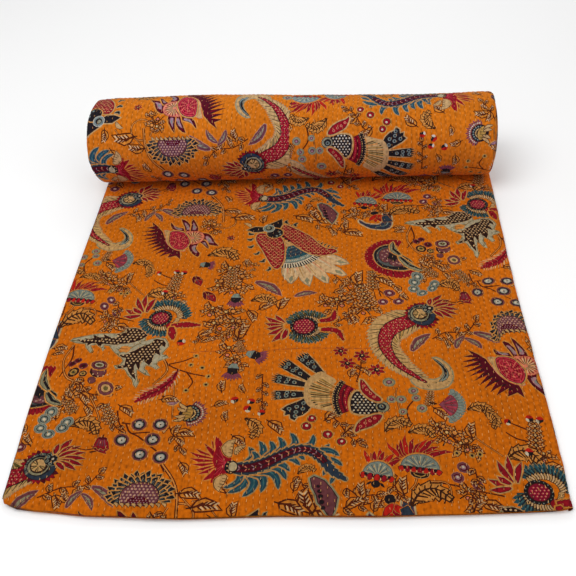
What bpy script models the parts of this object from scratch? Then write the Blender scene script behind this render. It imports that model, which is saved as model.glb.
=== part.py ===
"""A kantha quilt, folded in three along its length and part rolled up.

The cloth is folded like a letter: the middle third lies underneath, the left third is turned in
over it, and the right third is turned in on top.  The folded strip lies flat on the floor, passes
under the roll, goes up its back, over its top, down its front and inward.

X is across the strip, +Y runs from the front hem to the roll and +Z is up.  Metres.  The origin is
the middle of the floor that the quilt's box covers.
"""

import math

import bmesh
import bpy

# ---- driving sizes ----
QUILT_WIDTH = 2.286        # the opened quilt, across
STRIP_WIDTH = QUILT_WIDTH / 3
LAYER = 0.0027             # one thickness of the stitched cloth
GAP = 0.0008               # air between two folded layers
ROLL_AXIS_Y = 0.797        # from the front hem to the middle of the roll
ROLL_RADIUS = 0.0862       # to the outer face, where the strip leaves the floor
ROLL_TURNS = 6.5
ROLL_PITCH = 0.0112        # one turn of the folded strip, with its air
ROLL_OVAL = 1.03           # the roll's depth over its height: it sags a little
ROLL_SINK = 0.0016         # how far the roll's front presses into the strip under it
ROLL_LIFT = 0.0003         # the roll's own underside above the floor
END_ROUND = 0.006          # how far the roll's skin ends short of the rolled fold's crown
END_GROOVE = 0.008         # depth of the groove between two turns at the roll's ends
CORE_DIMPLE = 0.011        # depth of the middle of the roll at each end
HEM_STEP = 0.003           # how far the lowest layer's front hem stands back from the top one's
HEM_INSET = 0.0025         # the top layer's free hem, short of the narrow fold on the left
INNER_HEM_INSET = 0.012    # the middle layer's hem, short of the wide fold on the right
CREASE_Y = 0.303           # the pressed line across the flat part
CREASE_DEPTH = 0.0009
CREASE_HALF = 0.020        # the pressed line's half width
CREASE_REACH = 0.200       # how far the pressed line runs to each side of the middle
HEM_RIPPLE = 0.050         # how far in from the front hem its ripples fade out
UNEVENNESS = 0.0004        # height of the soft waves on top of the flat part
ROLL_WAVES = (0.0007, 0.0005)  # heights of the roll's long and short waves
UPPER_SIDE = 0.6           # the roll's waves and swell are fullest this angle behind its top, in radians
SQUASH_HEIGHT = 0.020      # the roll's underside is pressed flatter below this height
CORE_SHIFT = 0.003         # how far the core's dimple lies forward of the axis and above it
STRIP_TUCK = 0.008         # how far the flat strip runs on past the roll's middle

# ---- mesh fineness ----
LAYER_PLACES = (0.0, 0.02, 0.06, 0.14, 0.27, 0.42, 0.58, 0.73, 0.86, 0.94, 0.98, 1.0)
WIDE_FOLD_STEPS = 6
NARROW_FOLD_STEPS = 4
TURN_STEPS = 24            # faces round one turn
SKIN_STEPS = 14            # faces along the roll

# ---- the flat part's outline: y, the left edge and the right edge (mm outward is negative, positive) ----
SIDE_EDGES = (
    # y      left    right
    (0.000,  2.6,    0.6),
    (0.040,  2.4,    1.2),
    (0.080,  1.2,    2.6),
    (0.180, -1.9,    2.6),
    (0.290, -2.2,    1.1),
    (0.420, -1.3,   -0.6),
    (0.510,  0.1,    0.3),
    (0.600,  1.8,    2.2),
    (0.700,  3.6,    4.0),
    (0.805,  4.6,    6.0),
)
# x across the strip, how far the front hem stands back (mm), and how high its edge ripples (mm)
FRONT_HEM = (
    # x      back    up
    (-0.381, 22.0,   0.0),
    (-0.372,  9.0,   0.1),
    (-0.355,  3.0,   0.3),
    (-0.320, -1.6,   0.5),
    (-0.245, -9.5,   0.2),
    (-0.150, -13.0,  0.6),
    ( 0.000, -8.5,   0.1),
    ( 0.120, -9.5,   0.7),
    ( 0.220, -6.6,   0.1),
    ( 0.300, -3.5,   0.5),
    ( 0.360, -0.6,   0.2),
    ( 0.374,  2.0,   0.1),
    ( 0.381,  6.0,   0.1),
)
# turns from the floor, and where the strip's two edges lie there (mm from the strip's own)
ROLL_EDGES = (
    # turns  left    right
    (0.00,   4.6,    6.0),
    (0.25,   2.0,    3.0),
    (0.47,   3.0,    2.0),
    (0.60,  -4.5,   -0.5),
    (0.72,  -5.5,   -1.0),
    (0.90,   5.0,   -1.5),
    (1.20,   3.0,   -0.5),
    (1.50,   2.0,    4.5),
    (2.20,   5.0,    1.0),
    (3.00,   1.0,    5.0),
    (3.80,   4.5,    0.5),
    (4.60,   2.0,    3.5),
    (5.60,   5.0,    1.0),
    (8.00,   2.0,    2.0),
)
# x along the roll, and how far its upper side swells (mm)
ROLL_SWELL = (
    # x      out
    (-0.381,  3.0),
    (-0.330,  5.5),
    (-0.200,  6.0),
    (-0.060,  4.0),
    ( 0.020,  1.0),
    ( 0.120, -1.0),
    ( 0.250, -1.5),
    ( 0.381, -0.5),
)
# the right end's relief across one turn: share of the pitch from outside in, share of the groove's depth
RIGHT_RELIEF = (
    # share  depth
    (0.00,   1.00),
    (0.14,   0.35),
    (0.46,   0.00),
    (0.84,   0.30),
)
# the left end's: the narrow fold, then the single free hem
LEFT_RELIEF = (
    # share  depth
    (0.00,   1.00),
    (0.12,   0.35),
    (0.32,   0.00),
    (0.54,   0.30),
    (0.64,   0.80),
    (0.76,   0.55),
    (0.92,   0.60),
)

MM = 0.001
BAND = 3 * LAYER + 2 * GAP
HALF = STRIP_WIDTH / 2
ROLL_AXIS_Z = ROLL_RADIUS - ROLL_SINK


def between(table, at, column):
    """The table's column at a value of its first column, on a smooth line through the rows."""
    rows = list(table)
    if at <= rows[0][0]:
        return rows[0][column]
    for low, high in zip(rows, rows[1:]):
        if at <= high[0]:
            share = (at - low[0]) / (high[0] - low[0])
            eased = share * share * (3 - 2 * share)
            return low[column] + (high[column] - low[column]) * eased
    return rows[-1][column]


def ripple(x, y):
    """The slight unevenness of the top of the flat part."""
    return UNEVENNESS * (math.sin(17.0 * x + 5.0 * y) + math.sin(11.0 * y - 6.0 * x + 1.3))


def crease(x, y):
    """The pressed line across the flat part, which fades out towards both sides."""
    across = max(0.0, 1 - (x / CREASE_REACH) ** 2)
    along = max(0.0, 1 - ((y - CREASE_Y) / CREASE_HALF) ** 2)
    return -CREASE_DEPTH * across * along


def fold_line():
    """The folded section's middle line, from the free hem on top round to the hem inside.

    Each row is (share, inset, z, outward x, outward z).  share is the place across the strip, 0 at
    the left edge and 1 at the right one, and inset is added to it in metres.
    """
    rows = []
    top, bottom, middle = 2.5 * LAYER + 2 * GAP, 0.5 * LAYER, 1.5 * LAYER + GAP
    wide, narrow = (top - bottom) / 2, (middle - bottom) / 2
    wide_inset, narrow_inset = wide + LAYER / 2, narrow + LAYER / 2

    def run(start, end, start_inset, end_inset, z, up):
        for part in LAYER_PLACES:
            share = start + (end - start) * part
            inset = start_inset + (end_inset - start_inset) * part
            rows.append((share, inset, z, 0.0, up))

    def bend(share, centre_inset, radius, centre_z, start, steps):
        for step in range(1, steps):
            angle = start - math.pi * step / steps
            out_x, out_z = math.cos(angle), math.sin(angle)
            rows.append((share, centre_inset + radius * out_x, centre_z + radius * out_z, out_x, out_z))

    run(0.0, 1.0, HEM_INSET, -wide_inset, top, 1.0)
    bend(1.0, -wide_inset, wide, (top + bottom) / 2, math.pi / 2, WIDE_FOLD_STEPS)
    run(1.0, 0.0, -wide_inset, narrow_inset, bottom, -1.0)
    bend(0.0, narrow_inset, narrow, (bottom + middle) / 2, -math.pi / 2, NARROW_FOLD_STEPS)
    run(0.0, 1.0, narrow_inset, -INNER_HEM_INSET, middle, 1.0)
    return rows


def strip_stations():
    """Places along the flat strip as shares of its length, closer at the crease and at the roll."""
    end = ROLL_AXIS_Y + STRIP_TUCK
    places = [0.0, 0.014, 0.04, 0.08, 0.13, 0.19, 0.245, 0.283, 0.295, 0.303, 0.311, 0.323]
    places += [0.36, 0.42, 0.48, 0.54, 0.60, 0.66, 0.71, 0.745, 0.77, ROLL_AXIS_Y - 0.008, end]
    return [place / end for place in places]


def strip_point(row, share_y, side):
    """One corner of the flat strip: side is 1 for the section's outer face and -1 for its inner one."""
    share, inset, z, out_x, out_z = row
    offset = side * LAYER / 2
    nominal = -HALF + STRIP_WIDTH * share + inset + offset * out_x
    height = (z + offset * out_z) / BAND
    front = between(FRONT_HEM, nominal, 1) * MM + HEM_STEP * (1 - height)
    y = front + share_y * (ROLL_AXIS_Y + STRIP_TUCK - front)
    left = between(SIDE_EDGES, y, 1) * MM
    right = between(SIDE_EDGES, y, 2) * MM
    x = nominal + left + (right - left) * (nominal + HALF) / STRIP_WIDTH
    z += offset * out_z
    lift = between(FRONT_HEM, nominal, 2) * MM * max(0.0, 1 - (y - front) / HEM_RIPPLE)
    z += (ripple(x, y) + crease(x, y) + lift) * height ** 3
    return x, y, z


def add_strip(mesh):
    """The flat part: a thick sheet in its three layers, open at the front and at the left side."""
    rows, stations = fold_line(), strip_stations()
    outer = [[mesh.verts.new(strip_point(row, at, 1)) for row in rows] for at in stations]
    inner = [[mesh.verts.new(strip_point(row, at, -1)) for row in rows] for at in stations]
    for near, far in zip(range(len(stations)), range(1, len(stations))):
        for one in range(len(rows) - 1):
            two = one + 1
            mesh.faces.new((outer[near][one], outer[far][one], outer[far][two], outer[near][two]))
            mesh.faces.new((inner[near][two], inner[far][two], inner[far][one], inner[near][one]))
        for hem in (0, len(rows) - 1):
            mesh.faces.new((outer[near][hem], inner[near][hem], inner[far][hem], outer[far][hem]))
    for end in (0, len(stations) - 1):
        for one in range(len(rows) - 1):
            mesh.faces.new((outer[end][one], outer[end][one + 1], inner[end][one + 1], inner[end][one]))


def roll_point(step, share, x):
    """A point of the roll: step counts round from the floor, share is the place in from that turn's face."""
    turns = step / TURN_STEPS
    radius = ROLL_RADIUS - ROLL_PITCH * (turns + share)
    angle = -math.pi / 2 + 2 * math.pi * turns
    long_wave, short_wave = ROLL_WAVES
    wave = long_wave * math.sin(9.0 * x + 2.0 * angle) + short_wave * math.sin(23.0 * x - angle)
    radius += (wave + between(ROLL_SWELL, x, 1) * MM) * max(0.0, math.sin(angle + UPPER_SIDE))
    y = ROLL_AXIS_Y + radius * math.cos(angle) * ROLL_OVAL
    z = ROLL_AXIS_Z + radius * math.sin(angle)
    if z < SQUASH_HEIGHT:
        pressed = (SQUASH_HEIGHT - ROLL_LIFT) / (SQUASH_HEIGHT + ROLL_SINK)
        z = ROLL_LIFT + (z + ROLL_SINK) * pressed
    return x, y, z


def end_x(step, column, sign, depth):
    """How far out the roll's end reaches at a step: column and sign give the end, depth is the relief."""
    edge = between(ROLL_EDGES, step / TURN_STEPS, column) * MM
    return sign * HALF + edge - sign * depth


def add_roll_end(mesh, relief, column, sign):
    """One end of the roll, as a spiral of ridges.  It returns the rows of points, step by step."""
    steps, rows = round(ROLL_TURNS * TURN_STEPS), len(relief)
    spiral = []
    for step in range(steps + 1):
        line = []
        for share, depth in relief:
            groove = END_ROUND if step <= TURN_STEPS and share == 0 else END_GROOVE * depth
            line.append(mesh.verts.new(roll_point(step, share, end_x(step, column, sign, groove))))
        spiral.append(line)
    for step in range(steps + 1):
        if step + TURN_STEPS <= steps:
            spiral[step].append(spiral[step + TURN_STEPS][0])
        else:
            deep = end_x(step, column, sign, END_GROOVE)
            spiral[step].append(mesh.verts.new(roll_point(step, 1.0, deep)))
    for step in range(steps):
        for row in range(rows):
            near, far = spiral[step], spiral[step + 1]
            mesh.faces.new((near[row], far[row], far[row + 1], near[row + 1]))
    rim = [spiral[step][rows] for step in range(steps - TURN_STEPS, steps + 1)]
    rim += [spiral[steps][row] for row in range(rows - 1, 0, -1)]
    middle = end_x(steps, column, sign, CORE_DIMPLE)
    centre = mesh.verts.new((middle, ROLL_AXIS_Y - CORE_SHIFT, ROLL_AXIS_Z + CORE_SHIFT))
    for one, two in zip(rim, rim[1:] + rim[:1]):
        mesh.faces.new((one, two, centre))
    return spiral


def add_roll(mesh):
    """The wound form: its skin, its two ends and the foot by which it joins the strip."""
    left = add_roll_end(mesh, LEFT_RELIEF, 1, -1)
    right = add_roll_end(mesh, RIGHT_RELIEF, 2, 1)
    lines = []
    for step in range(TURN_STEPS + 1):
        start, end = left[step][0], right[step][0]
        line = [start]
        for part in range(1, SKIN_STEPS):
            x = start.co.x + (end.co.x - start.co.x) * part / SKIN_STEPS
            line.append(mesh.verts.new(roll_point(step, 0.0, x)))
        lines.append(line + [end])
    for near, far in zip(lines, lines[1:]):
        for part in range(SKIN_STEPS):
            mesh.faces.new((near[part], near[part + 1], far[part + 1], far[part]))
    low, high = lines[0], lines[-1]
    for part in range(1, SKIN_STEPS - 1):
        mesh.faces.new((low[part], low[part + 1], high[part + 1], high[part]))
    for rows, part in ((left[0], 1), (right[0], -2)):
        for one, two in zip(rows, rows[1:] + [high[part]]):
            mesh.faces.new((one, two, low[part]))


def make_object(name, build, material):
    mesh = bmesh.new()
    build(mesh)
    bmesh.ops.recalc_face_normals(mesh, faces=mesh.faces)
    if mesh.calc_volume(signed=True) < 0:
        bmesh.ops.reverse_faces(mesh, faces=mesh.faces)
    data = bpy.data.meshes.new(name)
    mesh.to_mesh(data)
    mesh.free()
    data.materials.append(material)
    data.shade_smooth()
    data.set_sharp_from_angle(angle=math.radians(50))
    made = bpy.data.objects.new(name, data)
    bpy.context.scene.collection.objects.link(made)
    return made


def cloth_material():
    material = bpy.data.materials.new("marigold_cloth")
    material.use_nodes = True
    shader = material.node_tree.nodes["Principled BSDF"]
    shader.inputs["Base Color"].default_value = (0.73, 0.24, 0.012, 1.0)
    shader.inputs["Roughness"].default_value = 0.85
    shader.inputs["Metallic"].default_value = 0.0
    return material


def centre_on_floor(made):
    """Moves the mesh so that the origin is the middle of its box's floor."""
    corners = [vert.co for vert in made.data.vertices]
    middle = [(min(c[axis] for c in corners) + max(c[axis] for c in corners)) / 2 for axis in (0, 1)]
    floor = min(c[2] for c in corners)
    for vert in made.data.vertices:
        vert.co.x -= middle[0]
        vert.co.y -= middle[1]
        vert.co.z -= floor


def join_solids(whole, other):
    """Makes one body of two solids that reach into each other."""
    union = whole.modifiers.new("join", "BOOLEAN")
    union.operation = "UNION"
    union.solver = "EXACT"
    union.object = other
    graph = bpy.context.evaluated_depsgraph_get()
    joined = bpy.data.meshes.new_from_object(whole.evaluated_get(graph))
    whole.modifiers.clear()
    whole.data = joined
    bpy.data.objects.remove(other)


def main():
    for old in list(bpy.data.objects):
        bpy.data.objects.remove(old)
    cloth = cloth_material()
    quilt = make_object("quilt", add_strip, cloth)
    roll = make_object("roll", add_roll, cloth)
    join_solids(quilt, roll)
    centre_on_floor(quilt)


main()
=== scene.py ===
"""A kantha quilt, folded in three along its length and part rolled up: its cloth, print and stitching.

Drawing frame: x across the strip from its middle, y from the front hem towards the roll, z up, metres.
The print has its own plane: p across the cloth and q along it from the front hem.  On the flat part
p = x.  The cloth turns over at the right fold, so on the roll's outer face p grows towards the left.
"""
import cmath
import math

import bpy
import numpy as np
from mathutils import Matrix, Vector
from mathutils.geometry import delaunay_2d_cdt


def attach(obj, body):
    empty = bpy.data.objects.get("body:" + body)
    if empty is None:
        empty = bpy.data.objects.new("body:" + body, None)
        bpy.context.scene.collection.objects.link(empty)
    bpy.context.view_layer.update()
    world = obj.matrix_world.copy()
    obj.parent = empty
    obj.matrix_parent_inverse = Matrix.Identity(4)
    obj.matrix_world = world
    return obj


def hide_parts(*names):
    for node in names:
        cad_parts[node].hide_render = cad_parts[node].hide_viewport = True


MM = 0.001
# ---- sizes, the same as the solid's ----
QUILT = (2.286, 2.743)
WIDTH = QUILT[0] / 3
HALF = WIDTH / 2
LAYER, GAP = 0.0027, 0.0008
BAND = 3 * LAYER + 2 * GAP
AXIS_Y, RADIUS, TURNS, PITCH, OVAL, SINK, LIFT = 0.797, 0.0862, 6.5, 0.0112, 1.03, 0.0016, 0.0003
SQUASH = 0.020
AXIS_Z = RADIUS - SINK
HEM_STEP, HEM_INSET, INNER_HEM_INSET = 0.003, 0.0025, 0.012
TO_ROW = (-0.00026, -0.43694)     # from the drawing frame to the middle of the solid's box
SIDE_EDGES = np.array((
    (0.000, 2.6, 0.6), (0.040, 2.4, 1.2), (0.080, 1.2, 2.6), (0.180, -1.9, 2.6), (0.290, -2.2, 1.1),
    (0.420, -1.3, -0.6), (0.510, 0.1, 0.3), (0.600, 1.8, 2.2), (0.700, 3.6, 4.0), (0.805, 4.6, 6.0)))
FRONT_HEM = np.array((
    (-0.381, 22.0, 0.0), (-0.372, 9.0, 0.1), (-0.355, 3.0, 0.3), (-0.320, -1.6, 0.5), (-0.245, -9.5, 0.2),
    (-0.150, -13.0, 0.6), (0.000, -8.5, 0.1), (0.120, -9.5, 0.7), (0.220, -6.6, 0.1), (0.300, -3.5, 0.5),
    (0.360, -0.6, 0.2), (0.374, 2.0, 0.1), (0.381, 6.0, 0.1)))
ROLL_EDGES = np.array(((0.00, 4.6, 6.0), (0.25, 2.0, 3.0), (0.47, 3.0, 2.0), (0.60, -4.5, -0.5),
        (0.72, -5.5, -1.0), (0.90, 5.0, -1.5), (1.20, 3.0, -0.5), (1.50, 2.0, 4.5), (2.20, 5.0, 1.0),
        (3.00, 1.0, 5.0), (3.80, 4.5, 0.5), (4.60, 2.0, 3.5), (5.60, 5.0, 1.0), (8.00, 2.0, 2.0)))
ROLL_SWELL = np.array((
    (-0.381, 3.0), (-0.330, 5.5), (-0.200, 6.0), (-0.060, 4.0), (0.020, 1.0), (0.120, -1.0), (0.250, -1.5),
    (0.381, -0.5)))

# ---- stitching ----
ROW = 0.0090              # from one row of running stitch to the next
STITCH = 0.0125           # from one stitch to the next along a row
ROWS = 42                 # rows to each side of the middle one
ROW_STEP = 0.382          # how far along each row's stitches start after those of the row before
THREAD_LONG, THREAD_WIDE, THREAD_HIGH = 0.0064, 0.0009, 0.00042
THREAD_SIDES, THREAD_ENDS = 0.0002, 0.0004     # how deep the thread's sides and ends go into the cloth
SHOWN = 0.93              # the share of stitches that stand out of the cloth
SIDE_CLEAR, HEM_CLEAR = 0.004, 0.003           # no stitch shows nearer to the side or to the front hem
DRIFT, DRIFT_WAVE = 0.10, 31.0                 # rows wander by shares of their distance, in waves along them
SWAY, SWAY_WAVE, SWAY_LEAN = 0.06, 83.0, 40.0
RELIEF = 0.00042          # how far the cloth puffs up between its rows
UNDER = 0.0009            # the coarse cloth lies this far below its printed face

# ---- the print's repeat and how each face of the folded cloth shows it ----
REPEAT = (7 + 637j, 549 - 325j)   # mm: along the cloth, and a half drop sideways
FACE_RIGHT = (0.0145, -0.030)     # the roll's face right of the middle seam: shift of p and q
FACE_LEFT = (-0.053, 0.127)       # and left of it, where the second width of cloth is sewn on
FLAT_END = 806.0          # mm along the cloth: the flat part's print ends under the roll
ACROSS_STEP, ALONG_STEP = 2.25, 6.25           # mm: the printed faces' grid
SPARE = 20                # mm of print taken in past a face's border
BENT = 0.12               # mm: a point that bends an outline by less is left out
CLEAR = 2.2               # mm: no grid point is needed so close to an outline's points
COARSE_STEP = 1.5         # mm: the grid of the coarse print for the inner layers

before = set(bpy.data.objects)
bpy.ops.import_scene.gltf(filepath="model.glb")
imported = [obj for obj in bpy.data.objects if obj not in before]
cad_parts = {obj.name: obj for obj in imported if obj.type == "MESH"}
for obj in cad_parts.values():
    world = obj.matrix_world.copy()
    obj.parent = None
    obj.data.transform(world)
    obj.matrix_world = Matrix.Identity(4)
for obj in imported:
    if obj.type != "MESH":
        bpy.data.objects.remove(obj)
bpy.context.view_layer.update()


# ---------------------------------------------------------------- the cloth's shape
def between(table, at, column):
    """The table's column on a smooth line through its rows."""
    at = np.asarray(at, float)
    low = np.clip(np.searchsorted(table[:, 0], at, side="right") - 1, 0, len(table) - 2)
    share = np.clip((at - table[low, 0]) / (table[low + 1, 0] - table[low, 0]), 0, 1)
    eased = share * share * (3 - 2 * share)
    return table[low, column] + (table[low + 1, column] - table[low, column]) * eased


def front_hem(x):
    """How far the front hem curves in at a place across the strip."""
    return between(FRONT_HEM, x, 1) * MM


def ripple(x, y):
    """The slight unevenness of the flat cloth."""
    return 0.0004 * (np.sin(17.0 * x + 5.0 * y) + np.sin(11.0 * y - 6.0 * x + 1.3))


def crease(x, y):
    """The shallow fold mark across the flat part."""
    across = np.clip(1 - (x / 0.20) ** 2, 0, 1)
    along = np.clip(1 - ((y - 0.303) / 0.020) ** 2, 0, 1)
    return -0.0009 * across * along


def flat_point(x, y, z):
    """A point of the flat part from its plain place: x from the strip's middle, z above the floor."""
    left, right = between(SIDE_EDGES, y, 1) * MM, between(SIDE_EDGES, y, 2) * MM
    lift = between(FRONT_HEM, x, 2) * MM * np.clip(1 - (y - front_hem(x)) / 0.05, 0, 1)
    up = np.clip(z / BAND, 0, 1) ** 3
    return np.stack((x + left + (right - left) * (x + HALF) / WIDTH, y,
                     z + (ripple(x, y) + crease(x, y) + lift) * up), axis=-1)


def roll_point(x, turns, depth):
    """A point of the roll: turns round from the floor, depth in from that turn's outer face."""
    angle = -math.pi / 2 + 2 * math.pi * turns
    radius = RADIUS - PITCH * turns - depth
    wave = 0.0007 * np.sin(9.0 * x + 2.0 * angle) + 0.0005 * np.sin(23.0 * x - angle)
    radius = radius + (wave + between(ROLL_SWELL, x, 1) * MM) * np.clip(np.sin(angle + 0.6), 0, 1)
    z = AXIS_Z + radius * np.sin(angle)
    z = np.where(z < SQUASH, LIFT + (z + SINK) * (SQUASH - LIFT) / (SQUASH + SINK), z)
    left, right = between(ROLL_EDGES, turns, 1) * MM, between(ROLL_EDGES, turns, 2) * MM
    return np.stack((x + left + (right - left) * (x + HALF) / WIDTH,
                     AXIS_Y + radius * np.cos(angle) * OVAL, z), axis=-1)


def along_roll(turns):
    """The cloth's length from the front hem to a place on the outer turn."""
    return AXIS_Y + 2 * math.pi * (RADIUS * turns - PITCH * turns ** 2 / 2) * 1.02


OUTER_TURNS = np.linspace(-0.05, 1.2, 500)
OUTER_LENGTHS = along_roll(OUTER_TURNS)


def turns_at(q):
    """How far round the outer turn a length along the cloth is."""
    return np.interp(q, OUTER_LENGTHS, OUTER_TURNS)


def relief(p, q):
    """How far the stitched cloth stands up: low along each row of stitches, puffed between them."""
    row = p / ROW + DRIFT * np.sin(DRIFT_WAVE * q) + SWAY * np.sin(SWAY_WAVE * q + SWAY_LEAN * p)
    puff = -np.cos(2 * math.pi * row) * (0.8 + 0.2 * np.sin(2 * math.pi * q / STITCH + 2.4 * np.round(row)))
    wander = np.sin(140.0 * q + 60 * p) * np.sin(210.0 * p - 35 * q) + np.sin(75 * q - 90 * p)
    return RELIEF * (puff + 0.45 * wander)


def top_point(p, q, out):
    """A point of the top face: round the free hem on the left, the wide fold and the front hem."""
    r, fold = LAYER / 2, BAND / 2
    start, bend = -HALF + HEM_INSET + r, HALF - fold
    left = np.clip((start - p) / r, 0, math.pi)
    right = np.clip((p - bend) / fold, 0, math.pi)
    flat_x = np.clip(p, start, bend)
    hem = front_hem(flat_x) + r
    front = np.clip((hem - q) / r, 0, math.pi)
    fade = np.cos(np.clip(front, 0, math.pi / 2)) * np.cos(np.clip(left, 0, math.pi / 2))
    out = out * fade
    sink = r * (1 - np.cos(front)) - out
    y = np.maximum(q, hem) - r * np.sin(front)
    x = flat_x - (r - np.minimum(sink, r)) * np.sin(left) + (fold - sink) * np.sin(right)
    z = BAND - sink - (r - np.minimum(sink, r)) * (1 - np.cos(left)) - (fold - sink) * (1 - np.cos(right))
    return flat_point(x, y, z)


def roll_face_point(x, turns, out):
    """A point of the roll's outer face, round the narrow fold on the left and the wide one on the right."""
    narrow, wide = (2 * LAYER + GAP) / 2, BAND / 2
    start, bend = -HALF + narrow, HALF - wide
    left = np.clip((start - x) / narrow, 0, math.pi)
    right = np.clip((x - bend) / wide, 0, math.pi)
    depth = -out + (narrow + out) * (1 - np.cos(left)) + (wide + out) * (1 - np.cos(right))
    across = np.clip(x, start, bend) - (narrow + out) * np.sin(left) + (wide + out) * np.sin(right)
    return roll_point(across, turns, depth)


def to_row(points):
    """Points in the solid's own frame, none of them under the floor."""
    moved = np.asarray(points, float) + np.array((TO_ROW[0], TO_ROW[1], 0.0))
    moved[:, 2] = np.maximum(moved[:, 2], 0.0001)
    return moved


def new_mesh(name, points, faces, material):
    """A mesh object from arrays; all its faces have as many corners."""
    data = bpy.data.meshes.new(name)
    faces = np.asarray(faces, np.int32)
    size = faces.shape[1]
    data.vertices.add(len(points))
    data.vertices.foreach_set("co", np.asarray(points, np.float32).ravel())
    data.loops.add(faces.size)
    data.loops.foreach_set("vertex_index", faces.ravel())
    data.polygons.add(len(faces))
    data.polygons.foreach_set("loop_start", np.arange(0, faces.size, size, dtype=np.int32))
    data.update(calc_edges=True)
    data.shade_smooth()
    data.materials.append(material)
    made = bpy.data.objects.new(name, data)
    bpy.context.scene.collection.objects.link(made)
    return made


# ---------------------------------------------------------------- drawing tools, in millimetres, x + iy
# the paints, in sRGB
PAINT = {
    "ground": (222, 124, 14), "edge": (66, 34, 20), "black": (36, 30, 36), "navy": (48, 62, 84),
    "teal": (36, 84, 104), "sea": (70, 112, 120), "grey": (132, 148, 146), "pale": (196, 184, 150),
    "cream": (226, 186, 124), "peach": (226, 150, 74), "white": (222, 214, 196), "tan": (192, 150, 78),
    "crimson": (152, 20, 38), "red": (196, 36, 26), "maroon": (92, 14, 34), "rose": (204, 62, 82),
    "mauve": (140, 72, 94), "lilac": (172, 132, 148), "brown": (50, 28, 22), "green": (84, 84, 52),
    "hair": (206, 168, 116), "foliage": (220, 150, 72), "leafy": (218, 138, 50), "wine": (138, 22, 54),
    "ash": (150, 150, 126), "scale": (228, 136, 110), "petal": (222, 190, 150), "slate": (92, 100, 104),
    "dusk": (116, 66, 76), "olive": (104, 96, 54), "mist": (214, 142, 58), "silver": (186, 188, 184),
    "twig": (92, 36, 16), "bone": (182, 178, 158), "rust": (168, 88, 48),
}
WIDE_HALO = 0.85    # mm: a halo wider than this also has a mist round it
MIST = 1.3          # mm: how far the mist reaches past the halo
shapes = []         # the drawing so far: paint and outline, the later ones on top


def xy(*pairs):
    """Points from x, y numbers in a row."""
    return np.array(pairs[0::2], float) + 1j * np.array(pairs[1::2], float)


def about(middle, *pairs):
    """Points from x, y numbers in a row, as seen from the motif's middle."""
    return xy(*pairs) - middle


def unit(step):
    """The step's direction: a step one long."""
    return step / abs(step)


def turned(angle):
    """A step one long at an angle in radians."""
    return cmath.exp(1j * angle)


def toward(degrees):
    """A step one long at an angle in degrees."""
    return cmath.exp(1j * math.radians(degrees))


def put(paint, points):
    """Adds a filled outline to the drawing."""
    shapes.append((paint, np.asarray(points, complex)))


def smooth(points, per=4, closed=True):
    """A smooth line through the points."""
    p = np.asarray(points, complex)
    if closed:
        a, b, c, d = np.roll(p, 1), p, np.roll(p, -1), np.roll(p, -2)
    else:
        q = np.concatenate(([2 * p[0] - p[1]], p, [2 * p[-1] - p[-2]]))
        a, b, c, d = q[:-3], q[1:-2], q[2:-1], q[3:]
    t = np.arange(per)[None, :] / per
    a, b, c, d = (v[:, None] for v in (a, b, c, d))
    out = 0.5 * (2 * b + (c - a) * t + (2 * a - 5 * b + 4 * c - d) * t ** 2
                 + (3 * b - a - 3 * c + d) * t ** 3)
    out = out.ravel()
    return out if closed else np.append(out, p[-1])


def turned_out(points, by):
    """The closed outline moved outward."""
    p = np.asarray(points, complex)
    area = np.sum(p.real * np.roll(p.imag, -1) - np.roll(p.real, -1) * p.imag)
    one, two = p - np.roll(p, 1), np.roll(p, -1) - p
    one, two = one / np.maximum(abs(one), 1e-9), two / np.maximum(abs(two), 1e-9)
    normal = -1j * (one + two)
    size = np.maximum(abs(normal), 0.9)
    return p + math.copysign(1, area) * by * normal / size * np.minimum(2 / size, 1.25)


def blob(paint, points, edge=0.7, halo=0.0, line="edge", glow="peach"):
    """A filled outline with a drawn line round it, and a pale halo outside that where the dye stops."""
    if halo:
        if halo > WIDE_HALO:
            put("mist", turned_out(points, edge + halo + MIST))
        put(glow, turned_out(points, edge + halo))
    if edge:
        put(line, turned_out(points, edge))
    put(paint, points)


def disc(paint, centre, radius, n=8, squeeze=1.0, **more):
    """A round spot with n corners, plain or with a blob's edge and halo."""
    a = np.exp(2j * np.pi * (np.arange(n) + 0.5) / n)
    points = centre + (a.real + 1j * a.imag * squeeze) * radius
    if more:
        blob(paint, points, **more)
    else:
        put(paint, points)


def ringed(centre, *paints_and_sizes):
    """Round spots one on another: paint, radius and corners of each."""
    for paint, radius, n in paints_and_sizes:
        disc(paint, centre, radius, n)


def stroke(paint, points, widths):
    """A drawn line with a width at each end or at each point."""
    p = np.asarray(points, complex)
    step = np.gradient(p)
    normal = 1j * step / np.maximum(abs(step), 1e-9)
    w = np.interp(np.linspace(0, 1, len(p)), np.linspace(0, 1, len(widths)), widths) / 2
    put(paint, np.concatenate((p + normal * w, (p - normal * w)[::-1])))


def ray(paint, base, tip, width, bend=0.0, edge=0.6, halo=0.0, glow="peach", fat=0.45, line="edge"):
    """A pointed petal from base to tip."""
    t = np.array([0.0, 0.18, fat, 0.75, 1.0])
    w = np.array([0.25, 0.72, 1.0, 0.62, 0.0]) * width / 2
    if width > 8:
        fine, coarse = np.arange(9) / 8, np.arange(5) / 4
        t, w = np.interp(fine, coarse, t), np.interp(fine, coarse, w)
        w[1:-1] = w[1:-1] + 0.25 * (w[1:-1] - (w[:-2] + w[2:]) / 2) + 0.02 * width
    along = tip - base
    spine = base + along * t + 1j * along * bend * np.sin(np.pi * t)
    step = np.gradient(spine)
    normal = 1j * unit(step)
    blob(paint, np.concatenate((spine + normal * w, (spine - normal * w)[-2::-1])), edge, halo, line, glow)
    return spine


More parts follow.
